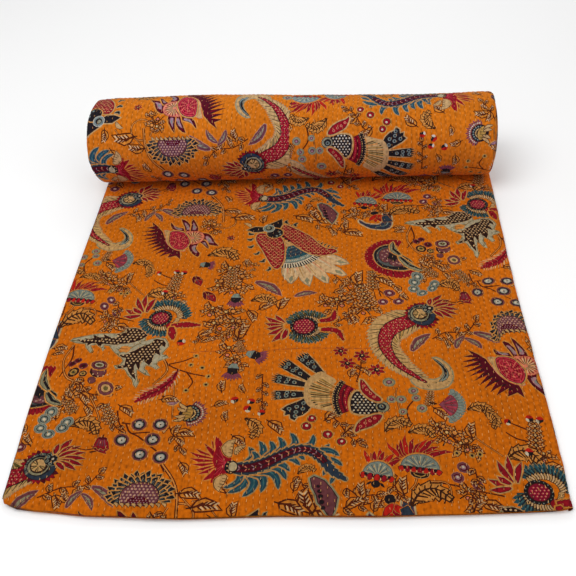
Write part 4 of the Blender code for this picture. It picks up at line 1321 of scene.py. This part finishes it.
def drawn_in(points):
    """Moves points of the flat part's print as the stitching has drawn the cloth."""
    even = 4.0      # mm: how far each place's own shift holds fully
    away = abs(points[:, None] - (DRAWN[:, 0] + 1j * DRAWN[:, 1])[None, :]) + even
    weight = away ** -3
    return points + (weight @ (DRAWN[:, 2] + 1j * DRAWN[:, 3])) / weight.sum(1)


def repeats(cell, low, high, move=None):
    """The repeat's shapes at every place where they reach the box from low to high, after move."""
    boxes = np.array([(s.real.min(), s.imag.min(), s.real.max(), s.imag.max()) for _, s in cell])
    stray = 30      # mm: how far a move can bring a shape in from outside the box
    out = []
    for i in range(-3, 5):
        for j in range(-5, 6):
            shift = i * REPEAT[1] + j * REPEAT[0]
            b = boxes + np.array((shift.real, shift.imag) * 2)
            near = ((b[:, 2] > low.real - stray) & (b[:, 0] < high.real + stray)
                    & (b[:, 3] > low.imag - stray) & (b[:, 1] < high.imag + stray))
            for k in np.nonzero(near)[0]:
                paint, points = cell[k]
                out.append((paint, points + shift))
    if move is None or not out:
        return out
    moved = move(np.concatenate([points for _, points in out]))
    cuts = np.cumsum([len(points) for _, points in out])[:-1]
    return [(paint, points) for (paint, _), points in zip(out, np.split(moved, cuts))]


def clipped(points, low, high):
    """The part of a shape inside the box."""
    for value, limit in ((1, low.real), (-1, -high.real), (1j, low.imag), (-1j, -high.imag)):
        if not len(points):
            break
        depth = (points * np.conj(value)).real - limit
        following = np.roll(depth, -1)
        cross = (depth >= 0) != (following >= 0)
        share = np.where(cross, depth / np.where(cross, depth - following, 1), 0)
        met = points + (np.roll(points, -1) - points) * share
        both = np.stack((points, met), 1).ravel()
        points = both[np.stack((depth >= 0, cross), 1).ravel()]
    return points


def triangles(points, edges):
    """The triangles between points that keep the edges."""
    verts, _, faces, *_ = delaunay_2d_cdt([Vector((z.real, z.imag)) for z in points], edges, [], 0, 1e-4)
    return np.array([v.to_tuple() for v in verts]) @ (1, 1j), np.array(faces)


def painted(verts, faces, shapes):
    """Each triangle's paint: that of the last shape round its middle."""
    middles = verts[faces].mean(1)
    paints = np.zeros(len(faces), int)
    order = np.argsort(middles.imag)
    heights = middles.imag[order]
    for paint, points in shapes:
        first, last = np.searchsorted(heights, (points.imag.min(), points.imag.max()))
        near = order[first:last]
        near = near[(middles[near].real > points.real.min()) & (middles[near].real < points.real.max())]
        if len(near):
            paints[near[in_shape(middles[near], points)]] = PAINT_NAMES.index(paint)
    return paints


def outlines(verts, faces, paints, fixed):
    """The edges between different paints, less the points that hardly bend them and aren't fixed."""
    pairs = np.sort(np.concatenate((faces[:, :2], faces[:, 1:], faces[:, ::2])), axis=1)
    owners = np.tile(paints, 3)
    keys = pairs[:, 0] * len(verts) + pairs[:, 1]
    order = np.argsort(keys, kind="stable")
    keys, owners = keys[order], owners[order]
    border = np.nonzero((keys[1:] == keys[:-1]) & (owners[1:] != owners[:-1]))[0]
    edges = np.stack(np.divmod(keys[border], len(verts)), -1)
    for turn in range(8):
        ends = np.concatenate((edges, edges[:, ::-1]))
        ends = ends[np.argsort(ends[:, 0], kind="stable")]
        start = np.searchsorted(ends[:, 0], np.arange(len(verts) + 1))
        middle = np.nonzero((np.diff(start) == 2) & ~fixed)[0]
        a, b = ends[start[middle], 1], ends[start[middle] + 1, 1]
        chord = verts[b] - verts[a]
        height = abs((np.conj(chord) * (verts[middle] - verts[a])).imag) / np.maximum(abs(chord), 1e-9)
        thin = height < BENT
        rank = np.full(len(verts), np.inf)      # a fixed shuffle, so that no two neighbours go in one turn
        rank[middle[thin]] = (middle[thin] * 7919 + turn * 104729) % 65537 + middle[thin] * 1e-7
        go = thin & (rank[middle] < rank[a]) & (rank[middle] < rank[b])
        if not go.any():
            break
        gone = np.zeros(len(verts), bool)
        gone[middle[go]] = True
        left = edges[~gone[edges].any(1)]
        joined = np.sort(np.stack((a[go], b[go]), -1), axis=1)
        edges = np.unique(np.concatenate((left, joined[joined[:, 0] != joined[:, 1]])), axis=0)
    return edges


def partition(shapes, xs, ys):
    """Triangles of a rectangle with grid points on xs and ys, each with the paint of the shape on top there.

    The first round finds the outlines that show, and the second keeps only those and the grid."""
    low, high = xs[0] + 1j * ys[0], xs[-1] + 1j * ys[-1]

    def on_rim(z):
        return ((abs(z.real - low.real) < 1e-3) | (abs(z.real - high.real) < 1e-3)
                | (abs(z.imag - low.imag) < 1e-3) | (abs(z.imag - high.imag) < 1e-3))

    grid = (xs[None, :] + 1j * ys[:, None]).ravel()
    rim = on_rim(grid)
    inside = []
    for paint, points in shapes:
        if (points.real.max() > low.real and points.real.min() < high.real
                and points.imag.max() > low.imag and points.imag.min() < high.imag):
            points = clipped(points, low, high)
            if len(points) > 2:
                inside.append((paint, points))
    edges, start = [], rim.sum()
    for _, points in inside:
        n = len(points)
        edges += [(start + k, start + (k + 1) % n) for k in range(n)]
        start += n
    verts, faces = triangles(np.concatenate([grid[rim]] + [points for _, points in inside]), edges)
    fixed = on_rim(verts)
    edges = outlines(verts, faces, painted(verts, faces, inside), fixed)
    used = fixed.copy()
    used[edges.ravel()] = True
    number = np.cumsum(used) - 1
    cells = set(np.round(verts[used] / CLEAR).tolist())
    free = [z for z in grid[~rim].tolist() if complex(round(z.real / CLEAR),
            round(z.imag / CLEAR)) not in cells]
    verts, faces = triangles(np.concatenate((verts[used], free)), number[edges].tolist())
    return verts, faces, painted(verts, faces, inside)


def skin(name, shapes, columns, lines, place, material, painted_light):
    """A printed face over tiles: columns and lines are the tiles' grid lines, place bends it in space, and
    the table of factors paints light and shade along the cloth into its colours.
    """
    weld = 500          # steps a millimetre: points of two tiles that fall together are one
    wide = 4000000
    verts, faces, paints, total = [], [], [], 0
    for xs in columns:
        for ys in lines:
            v, f, c = partition(shapes, xs, ys)
            verts.append(v)
            faces.append(f + total)
            paints.append(c)
            total += len(v)
    verts, faces, paints = np.concatenate(verts), np.concatenate(faces), np.concatenate(paints)
    keys = (np.round(verts.real * weld).astype(np.int64) * wide
            + np.round(verts.imag * weld).astype(np.int64))
    _, first, index = np.unique(keys, return_index=True, return_inverse=True)
    verts, faces = verts[first], index[faces]
    sound = (faces[:, 0] != faces[:, 1]) & (faces[:, 1] != faces[:, 2]) & (faces[:, 2] != faces[:, 0])
    faces, paints = faces[sound], paints[sound]
    a, b = verts.real * MM, verts.imag * MM
    points = place(a, b)
    a_line = np.all(np.roll(points[faces], 1, axis=1) == points[faces], axis=2).any(1)
    faces, paints = faces[~a_line], paints[~a_line]      # the hem closes these to a line
    step = 0.2 * MM
    normals = np.cross(place(a + step, b) - place(a - step, b), place(a, b + step) - place(a, b - step))
    normals /= np.maximum(np.linalg.norm(normals, axis=1), 1e-12)[:, None]
    made = new_mesh(name, to_row(points), faces, material)
    data = made.data
    colours = np.ones((len(faces), 3, 4), np.float32)
    tone = [np.interp(verts.imag[faces], painted_light[:, 0], column) for column in painted_light.T[1:]]
    ground = (paints == 0)[:, None]
    for k in range(3):
        # painted light and shade: each colour is scaled by the factors at its place along the cloth, the
        # ground by its own
        depth = np.where(ground, tone[k + 3], tone[k])
        colours[..., k] = np.array([LINEAR[paint][k] for paint in PAINT_NAMES])[paints][:, None] * depth
    attribute = data.color_attributes.new("print", "FLOAT_COLOR", "CORNER")
    attribute.data.foreach_set("color", colours.ravel())
    corner = faces.ravel()
    low, size = (a.min(), b.min()), (np.ptp(a), np.ptp(b))
    for title, base, span in (("OFBake", low, size), ("cloth", (0.0, 0.0), (1.0, 1.0))):
        layer = data.uv_layers.new(name=title)
        uv = np.stack(((a[corner] - base[0]) / span[0], (b[corner] - base[1]) / span[1]), -1)
        layer.data.foreach_set("uv", uv.astype(np.float32).ravel())
    data.normals_split_custom_set_from_vertices(normals.tolist())
    return made


def spaced(low, high, step, folds=()):
    """Grid lines about a step apart, and closer at the folds (place, reach, step)."""
    lines = set(np.round(np.linspace(low, high, max(2, round((high - low) / step) + 1)), 4))
    for place, reach, fine in folds:
        lines = {x for x in lines if abs(x - place) > reach or x in (round(low, 4), round(high, 4))}
        lines |= {round(x, 4) for x in np.arange(place - reach, place + reach + 1e-6,
                fine) if low <= x <= high}
    return np.array(sorted(lines))


def tiles(lines, count):
    """The grid lines shared out among a number of tiles, which share their border lines."""
    cuts = np.linspace(0, len(lines) - 1, count + 1).astype(int)
    return [lines[a:b + 1] for a, b in zip(cuts, cuts[1:])]


def make_flat_faces(cell, material):
    """The top of the flat part in three pieces, in a plane whose second axis starts at the front hem."""
    half, end = HALF / MM, FLAT_END

    def hem(p):
        return front_hem(np.clip(p, -HALF, HALF))

    def move(points):
        points = drawn_in(points)
        start = hem(points.real * MM) / MM
        return points.real + 1j * (points.imag - start) / (1 - start / end)

    def place(p, v):
        start = hem(p)
        q = start + v * (1 - start / (end * MM))
        return top_point(p, q, relief(p, q))

    xs = spaced(-half - 2.0, half + 11.0, ACROSS_STEP, ((-half + 3, 5.0, 0.8), (half + 1, 9.0, 1.2)))
    ys = spaced(-2.4, end, ALONG_STEP, ((0.5, 2.9, 0.8), (8, 4, 2.0), (303, 18, 3.0)))
    shapes = repeats(cell, (-half - SPARE) - 1j * SPARE, (half + SPARE) + (end + SPARE) * 1j, move)
    for x in range(-150, 170, 16):      # painted shade along the crease, a broken reddish line
        y = 300 + 0.012 * x + 1.2 * math.sin(x / 23)
        shapes.append(("rust", np.array((x, x + 13, x + 13, x)) + 1j * (y + np.array((0, 0.4, 1.7, 1.3)))))
    columns = tiles(xs, 5)
    lines = tiles(ys, 6)
    return [skin(f"print_top_{k}", shapes, columns, lines[2 * k:2 * k + 2], place, material, TOP_PAINTED_LIGHT)
            for k in range(3)]


def make_roll_faces(cell, material):
    """The roll's outer turn in two pieces, with the seam between two widths of cloth at the middle."""
    half = HALF / MM

    def place(a, b):
        seam = -0.0006 * np.exp(-(a / 0.0012) ** 2)
        return roll_face_point(a, turns_at(b), relief(a, b) + seam)

    ys = spaced(along_roll(-0.03) / MM, along_roll(1.04) / MM, ALONG_STEP)
    made = []
    for side, (p_shift, q_shift), x0, x1, folds in (
            ("left", FACE_LEFT, -half - 7.0, 0.0, ((-half, 6.0, 1.0), (-1, 2.0, 0.6))),
            ("right", FACE_RIGHT, 0.0, half + 12.0, ((1, 2.0, 0.6), (half + 2, 9.0, 1.2)))):
        turn = 2 * half + p_shift / MM + 1j * q_shift / MM

        def move(points):
            return (turn.real - points.real) + 1j * (points.imag - turn.imag)

        shapes = repeats(cell, (turn.real - x1 - SPARE) + 1j * (ys[0] + turn.imag - SPARE),
                         (turn.real - x0 + SPARE) + 1j * (ys[-1] + turn.imag + SPARE), move)
        xs = spaced(x0, x1, ACROSS_STEP, folds)
        made.append(skin(f"print_roll_{side}", shapes, tiles(xs, 3), tiles(ys, 4), place, material,
                ROLL_PAINTED_LIGHT))
    return made


# ---------------------------------------------------------------- stitches
def threads(rng):
    """Each stitch's p and q at five places along its thread, on the flat part and on the roll."""
    found = {"top": [], "roll": []}
    for where, first, last in (("top", 0.0, 0.80), ("roll", AXIS_Y + 0.01, along_roll(1.02))):
        for row in range(-ROWS, ROWS + 1):
            p0 = row * ROW
            y = (math.ceil(first / STITCH) + row * ROW_STEP % 1.0) * STITCH
            while y < last:
                long = THREAD_LONG * rng.uniform(0.75, 1.2)
                q = y + np.array((-0.5, -0.28, 0.0, 0.28, 0.5)) * long
                wander = DRIFT * np.sin(DRIFT_WAVE * q) + SWAY * np.sin(SWAY_WAVE * q + SWAY_LEAN * p0)
                p = p0 - ROW * wander
                p = p + rng.normal(0, 0.0002) + (q - y) * rng.normal(0, 0.05)
                if where == "roll" or y - long / 2 > front_hem(np.clip(p0, -HALF, HALF)) + HEM_CLEAR:
                    if rng.uniform() < SHOWN:
                        found[where].append((p, q + rng.normal(0, 0.0006)))
                y += STITCH
    return found


def thread_triangles():
    """A thread's triangles: an end point, three rings of three points, and the other end point."""
    made = [(0, 2, 1), (0, 3, 2), (10, 7, 8), (10, 8, 9)]
    for ring in (1, 4):
        for side in (0, 1):
            a, b, c, d = ring + side, ring + side + 1, ring + side + 4, ring + side + 3
            made += [(a, b, c), (a, c, d)]
    return np.array(made)


def make_stitches(material):
    """Every running stitch that shows, as a small raised thread."""
    rng = np.random.default_rng(7)
    wide = THREAD_WIDE / 2
    local = thread_triangles()
    corners = local.max() + 1
    blocks = []
    for where, found in threads(rng).items():
        p, q = np.array(found).transpose(1, 0, 2)
        shown = abs(p[:, 2]) < HALF - SIDE_CLEAR
        p, q = p[shown], q[shown]
        base = relief(p, q)

        def place(a, b, h):
            return top_point(a, b, h) if where == "top" else roll_face_point(a, turns_at(b), h)

        parts = [place(p[:, 0], q[:, 0], base[:, 0] - THREAD_ENDS)]
        for k, high in ((1, 0.8), (2, 1.0), (3, 0.8)):
            for across, up in ((-wide, -THREAD_SIDES), (0.0, THREAD_HIGH * high), (wide, -THREAD_SIDES)):
                parts.append(place(p[:, k] + across, q[:, k], base[:, k] + up))
        parts.append(place(p[:, 4], q[:, 4], base[:, 4] - THREAD_ENDS))
        blocks.append(np.stack(parts, 1))
    blocks = np.concatenate(blocks)
    faces = (np.arange(len(blocks))[:, None, None] * corners + local[None]).reshape(-1, 3)
    made = new_mesh("stitches", to_row(blocks.reshape(-1, 3)), faces, material)
    tint = np.repeat(rng.uniform(0.0, 1.0, len(blocks)), corners)
    attribute = made.data.attributes.new("tint", "FLOAT", "POINT")
    attribute.data.foreach_set("value", tint.astype(np.float32))
    return made


# ---------------------------------------------------------------- the whole cloth in its folds and turns
# where the section's points lie along each layer, as shares of it
ACROSS = (0.0, 0.004, 0.012, 0.028, 0.06, 0.15, 0.33, 0.5, 0.67, 0.85, 0.94, 0.972, 0.988, 0.996, 1.0)


def fold_rows():
    """The folded section, from the free hem on top round to the hem inside.

    It returns the outer points, the inner points (x, height) and each row's place p across the cloth."""
    rows = []
    top, bottom, middle = 2.5 * LAYER + 2 * GAP, 0.5 * LAYER, 1.5 * LAYER + GAP
    wide, narrow = (top - bottom) / 2, (middle - bottom) / 2

    def run(x0, x1, z, up, thin_start=False, thin_end=False):
        for k, part in enumerate(ACROSS):
            thin = thin_start and k == 0 or thin_end and k == len(ACROSS) - 1
            rows.append([x0 + (x1 - x0) * part, z, 0.0, up, 0.35 if thin else 1.0])

    def bend(x, z, radius, start, steps):
        for step in range(1, steps):
            angle = start - math.pi * step / steps
            rows.append([x + radius * math.cos(angle), z + radius * math.sin(angle),
                         math.cos(angle), math.sin(angle), 1.0])

    right, left = HALF - wide - LAYER / 2, -HALF + narrow + LAYER / 2
    run(-HALF + HEM_INSET, right, top, 1.0, thin_start=True)
    bend(right, (top + bottom) / 2, wide, math.pi / 2, 12)
    run(right, left, bottom, -1.0)
    bend(left, (bottom + middle) / 2, narrow, -math.pi / 2, 10)
    run(left, HALF - INNER_HEM_INSET, middle, 1.0, thin_end=True)
    rows = np.array(rows)
    half = LAYER / 2 * rows[:, 4:5]
    out = rows[:, :2] + rows[:, 2:4] * half
    back = rows[:, :2] - rows[:, 2:4] * half
    steps = np.hypot(np.diff(rows[:, 0]), np.diff(rows[:, 1]))
    return out, back, rows[0, 0] + np.concatenate(([0], np.cumsum(steps))), rows[:, 2:4]


def coarse_print(cell):
    """The repeat on a plain grid, for the sides, the underside and the inside of the roll."""
    step = COARSE_STEP
    width, height = REPEAT[1].real, REPEAT[0].imag
    nx, ny = int(width / step) + 1, int(height / step) + 1
    picture = np.tile(LINEAR["ground"], (ny, nx, 1))
    for paint, points in repeats(cell, 0j, width + 1j * height):
        x0, x1 = max(0, int(points.real.min() / step)), min(nx - 1, int(points.real.max() / step) + 1)
        y0, y1 = max(0, int(points.imag.min() / step)), min(ny - 1, int(points.imag.max() / step) + 1)
        if x1 < x0 or y1 < y0:
            continue
        x, y = np.meshgrid(np.arange(x0, x1 + 1) * step, np.arange(y0, y1 + 1) * step)
        within = in_shape((x + 1j * y).ravel(), points).reshape(x.shape)
        picture[y0:y1 + 1, x0:x1 + 1][within] = LINEAR[paint]
    return picture


def look_up(picture, p, q):
    """The coarse print's colours at places of the print's plane, in mm."""
    side = np.floor(p / REPEAT[1].real)
    x = p - side * REPEAT[1].real
    y = (q - side * REPEAT[1].imag) % REPEAT[0].imag
    return picture[np.clip((y / COARSE_STEP).astype(int), 0, picture.shape[0] - 1),
                   np.clip((x / COARSE_STEP).astype(int), 0, picture.shape[1] - 1)]


def make_cloth(material, cell):
    """The folded cloth as one closed shell, along the flat part and round every turn of the roll."""
    out, back, across, facing = fold_rows()
    count = len(out)
    flats = np.array([0.0, 0.0008, 0.002, 0.006, 0.014, 0.03, 0.05, 0.08, 0.12, 0.16, 0.2, 0.245, 0.283,
            0.295, 0.303, 0.311, 0.323, 0.36, 0.42, 0.48, 0.54, 0.60, 0.66, 0.71, 0.75, 0.78])
    turns = np.arange(0, TURNS + 1e-9, 1 / 72)
    top_run = np.arange(count) < len(ACROSS) + 11
    outer_run = (np.arange(count) >= len(ACROSS)) & (np.arange(count) < count - len(ACROSS) + 1)
    middle = (out[:, 1] + back[:, 1]) / 2
    rings, lengths = [], []
    for side, section in ((1, out), (-1, back)):
        points = []
        for station, w in enumerate(flats):
            sunk = section - facing * UNDER * top_run[:, None] * (side == 1)
            x, z = sunk[:, 0], sunk[:, 1]
            hem = front_hem(x) + HEM_STEP * (1 - z / BAND) + (UNDER if station < 2 else 0) * top_run
            y = hem + w / AXIS_Y * (AXIS_Y - hem)
            thin = (0.35, 0.75)[station] if station < 2 else 1.0
            points.append(flat_point(x, y, middle + (z - middle) * thin))
            if side == 1:
                lengths.append(y)
        for t in turns:
            sunk = section - facing * UNDER * outer_run[:, None] * (side == 1) * (t < 1.03)
            points.append(roll_point(sunk[:, 0], np.full(count, t), sunk[:, 1]))
            if side == 1:
                lengths.append(np.full(count, AXIS_Y + 2 * math.pi * (RADIUS * t - PITCH * t * t / 2)))
        rings.append(np.array(points))
    stations = len(flats) + len(turns)
    grid = np.arange(stations * count).reshape(stations, count)
    outer, inner = grid, grid + stations * count
    quads = [np.stack((outer[:-1, :-1], outer[1:, :-1], outer[1:, 1:], outer[:-1, 1:]), -1).reshape(-1, 4),
             np.stack((inner[:-1, 1:], inner[1:, 1:], inner[1:, :-1], inner[:-1, :-1]), -1).reshape(-1, 4)]
    for column, flip in ((0, False), (-1, True)):
        edge = np.stack((outer[:-1, column], inner[:-1, column], inner[1:, column], outer[1:, column]), -1)
        quads.append(edge[:, ::-1] if flip else edge)
    for row, flip in ((0, True), (-1, False)):
        edge = np.stack((outer[row, :-1], inner[row, :-1], inner[row, 1:], outer[row, 1:]), -1)
        quads.append(edge[:, ::-1] if flip else edge)
    points = np.concatenate([ring.reshape(-1, 3) for ring in rings])
    made = new_mesh("quilt_cloth", to_row(points), np.concatenate(quads), material)
    p = np.tile(across, stations) / MM
    q = np.concatenate(lengths) / MM
    colour = look_up(coarse_print(cell), p, q)
    colours = np.ones((len(points), 4), np.float32)
    colours[:, :3] = np.concatenate((colour, colour))
    attribute = made.data.color_attributes.new("print", "FLOAT_COLOR", "POINT")
    attribute.data.foreach_set("color", colours.ravel())
    corner = np.empty(len(made.data.loops), np.int32)
    made.data.loops.foreach_get("vertex_index", corner)
    uv = np.stack((np.tile(p, 2)[corner] * MM, np.tile(q, 2)[corner] * MM), -1)
    layer = made.data.uv_layers.new(name="cloth")
    layer.data.foreach_set("uv", uv.astype(np.float32).ravel())
    return made


# ---------------------------------------------------------------- materials
class Nodes:
    """Short calls for a material's nodes."""

    def __init__(self, name):
        self.material = bpy.data.materials.new(name)
        self.material.use_nodes = True
        self.tree = self.material.node_tree
        self.shader = self.tree.nodes["Principled BSDF"]

    def add(self, kind, inputs=None, **settings):
        node = self.tree.nodes.new("ShaderNode" + kind)
        for key, value in settings.items():
            setattr(node, key, value)
        for key, value in (inputs or {}).items():
            if isinstance(value, bpy.types.NodeSocket):
                self.tree.links.new(value, node.inputs[key])
            else:
                node.inputs[key].default_value = value
        return node

    def math(self, operation, *values):
        return self.add("Math", dict(enumerate(values)), operation=operation).outputs[0]

    def mix(self, share, one, two, blend):
        node = self.add("Mix", data_type="RGBA", blend_type=blend)
        for key, value in ((0, share), (6, one), (7, two)):
            if isinstance(value, bpy.types.NodeSocket):
                self.tree.links.new(value, node.inputs[key])
            else:
                node.inputs[key].default_value = value
        return node.outputs[2]

    def link(self, value, key):
        self.tree.links.new(value, self.shader.inputs[key])


def cloth_material():
    """Printed cotton: the print's colours, softened by the weave and fading, with painted shade in the
    dimples along the stitch rows and painted light and shade of the puckers.
    """
    n = Nodes("printed_cotton")
    print_colour = n.add("VertexColor", layer_name="print").outputs["Color"]
    uv = n.add("UVMap", uv_map="cloth").outputs["UV"]
    stretch = n.add("Mapping", {"Vector": uv, "Scale": (1.0, 0.16, 1.0)}).outputs[0]
    fade = n.add("TexNoise", {"Vector": uv, "Scale": 9.0, "Detail": 3.0}).outputs[0]
    streak = n.add("TexNoise", {"Vector": stretch, "Scale": 330.0, "Detail": 2.0}).outputs[0]
    speck = n.add("TexNoise", {"Vector": uv, "Scale": 700.0, "Detail": 2.0}).outputs[0]
    warp = n.add("TexWave", {"Vector": uv, "Scale": 500.0, "Distortion": 0.6}, bands_direction="X").outputs[1]
    weft = n.add("TexWave", {"Vector": uv, "Scale": 500.0, "Distortion": 0.6}, bands_direction="Y").outputs[1]
    level = n.math("MULTIPLY_ADD", fade, 0.30, 0.47)
    level = n.math("MULTIPLY", level, n.math("MULTIPLY_ADD", streak, 0.50, 0.75))
    level = n.math("MULTIPLY", level, n.math("MULTIPLY_ADD", speck, 0.24, 0.88))
    place = n.add("SeparateXYZ", {0: uv}).outputs
    drift = n.math("MULTIPLY", n.math("SINE", n.math("MULTIPLY", place[1], DRIFT_WAVE)), DRIFT)
    lean = n.math("MULTIPLY", place[0], SWAY_LEAN)
    sway = n.math("SINE", n.math("MULTIPLY_ADD", place[1], SWAY_WAVE, lean))
    row = n.math("MULTIPLY_ADD", place[0], 1 / ROW, n.math("MULTIPLY_ADD", sway, SWAY, drift))
    valley = n.math("POWER", n.math("MULTIPLY_ADD", n.math("COSINE", n.math("MULTIPLY", row, 2 * math.pi)),
            0.5, 0.5), 4.0)
    stitch = n.math("SUBTRACT", n.math("MULTIPLY", place[1], 1 / STITCH), n.math("MULTIPLY", n.math("ROUND",
            row), ROW_STEP))
    dash = n.math("COSINE", n.math("MULTIPLY", stitch, 2 * math.pi))
    dash = n.math("MINIMUM", n.math("MAXIMUM", n.math("MULTIPLY_ADD", dash, -0.8, 0.45), 0.30), 1.0)
    patchy = n.add("TexNoise", {"Vector": uv, "Scale": 45.0, "Detail": 2.0}).outputs[0]
    # painted shade: darker dimples along each row between its stitches, where the pinched cloth lies in shade
    dimple_shade = n.math("MULTIPLY", n.math("MULTIPLY", valley, dash), n.math("MULTIPLY_ADD", patchy, 2.2, -0.4))
    level = n.math("MULTIPLY", level, n.math("MULTIPLY_ADD", n.math("MAXIMUM", dimple_shade, 0.0), -0.46, 1.0))
    # painted light and shade of the puckers: a small-scale noise that darkens and lightens the colour in
    # patches
    puff = n.add("TexNoise", {"Vector": uv, "Scale": 170.0, "Detail": 1.5}).outputs[0]
    level = n.math("MULTIPLY", level, n.math("MULTIPLY_ADD", puff, 0.85, 0.58))
    colour = n.mix(1.0, print_colour, n.add("CombineColor", {0: level, 1: level, 2: level}).outputs[0],
            "MULTIPLY")
    n.link(colour, "Base Color")
    n.shader.inputs["Roughness"].default_value = 0.82
    n.shader.inputs["Sheen Weight"].default_value = 0.02
    n.shader.inputs["Sheen Roughness"].default_value = 0.5
    n.shader.inputs["Specular IOR Level"].default_value = 0.04
    weave = n.math("MULTIPLY", warp, weft)
    height = n.math("MULTIPLY_ADD", streak, 0.8, n.math("MULTIPLY", weave, 0.1))
    height = n.math("MULTIPLY_ADD", speck, 0.12, height)
    bump = n.add("Bump", {"Strength": 0.55, "Distance": 0.0007, "Height": height})
    n.link(bump.outputs[0], "Normal")
    return n.material


def thread_material():
    """Orange cotton thread, lighter and darker from stitch to stitch."""
    n = Nodes("stitch_cotton")
    tint = n.add("Attribute", attribute_name="tint").outputs["Fac"]
    colour = n.mix(tint, (0.56, 0.23, 0.038, 1), (0.70, 0.38, 0.12, 1), "MIX")
    n.link(colour, "Base Color")
    n.shader.inputs["Roughness"].default_value = 0.75
    n.shader.inputs["Sheen Weight"].default_value = 0.1
    coords = n.add("TexCoord").outputs["Object"]
    twist = n.add("TexWave", {"Vector": coords, "Scale": 400.0}, bands_direction="DIAGONAL").outputs[1]
    n.link(n.add("Bump", {"Strength": 0.4, "Distance": 0.0003, "Height": twist}).outputs[0], "Normal")
    return n.material


# ---------------------------------------------------------------- stage
def make_camera():
    """The photo's camera, fitted to the quilt's outline; its focal length is in pixels of the photo."""
    image, sensor = 576, 36.0
    place, yaw, pitch, roll, focal = (0.0762, -0.6449, 0.9629), 0.0714, 0.7196, -0.0613, 850.0
    forward = Vector((-math.sin(yaw) * math.cos(pitch), math.cos(yaw) * math.cos(pitch), -math.sin(pitch)))
    right = Vector((math.cos(yaw), math.sin(yaw), 0.0))
    up = right.cross(forward)
    right_2 = right * math.cos(roll) + up * math.sin(roll)
    up_2 = -right * math.sin(roll) + up * math.cos(roll)
    data = bpy.data.cameras.new("camera")
    data.sensor_width = sensor
    data.lens = focal / image * sensor
    made = bpy.data.objects.new("camera", data)
    axes = Matrix((right_2, up_2, -forward)).transposed().to_4x4()
    made.matrix_world = Matrix.Translation((place[0] + TO_ROW[0], place[1] + TO_ROW[1], place[2])) @ axes
    bpy.context.scene.collection.objects.link(made)
    bpy.context.scene.camera = made


def make_light(name, place, size, power, aim):
    data = bpy.data.lights.new(name, "AREA")
    data.shape, data.size, data.energy = "DISK", size, power
    made = bpy.data.objects.new(name, data)
    made.location = place
    made.rotation_euler = (Vector(aim) - Vector(place)).to_track_quat("-Z", "Y").to_euler()
    bpy.context.scene.collection.objects.link(made)


def make_stage():
    n = Nodes("pale_floor")
    n.shader.inputs["Base Color"].default_value = (0.86, 0.86, 0.86, 1)
    n.shader.inputs["Roughness"].default_value = 0.7
    side = 30.0
    floor = new_mesh("floor", np.array(((-side, -side, 0), (side, -side, 0), (side, side, 0), (-side, side,
            0))), np.array(((0, 1, 2, 3),)), n.material)
    make_light("key", (-0.9, -0.6, 2.4), 1.8, 38.0, (0, 0.1, 0))
    make_light("fill", (1.6, -1.4, 1.8), 2.2, 16.0, (0, 0, 0))
    make_light("back", (0.2, 2.2, 1.8), 1.8, 14.0, (0, 0.2, 0))
    world = bpy.data.worlds.new("studio")
    world.use_nodes = True
    world.node_tree.nodes["Background"].inputs["Color"].default_value = (1, 1, 1, 1)
    world.node_tree.nodes["Background"].inputs["Strength"].default_value = 0.55
    bpy.context.scene.world = world


def main():
    bpy.context.scene.view_settings.view_transform = "Standard"
    make_camera()
    make_stage()
    cloth, thread = cloth_material(), thread_material()
    cell = build()
    quilt = make_cloth(cloth, cell)
    faces = make_flat_faces(cell, cloth) + make_roll_faces(cell, cloth)
    stitches = make_stitches(thread)
    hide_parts("quilt")
    for piece in (quilt, stitches, *faces):
        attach(piece, "root")


main()
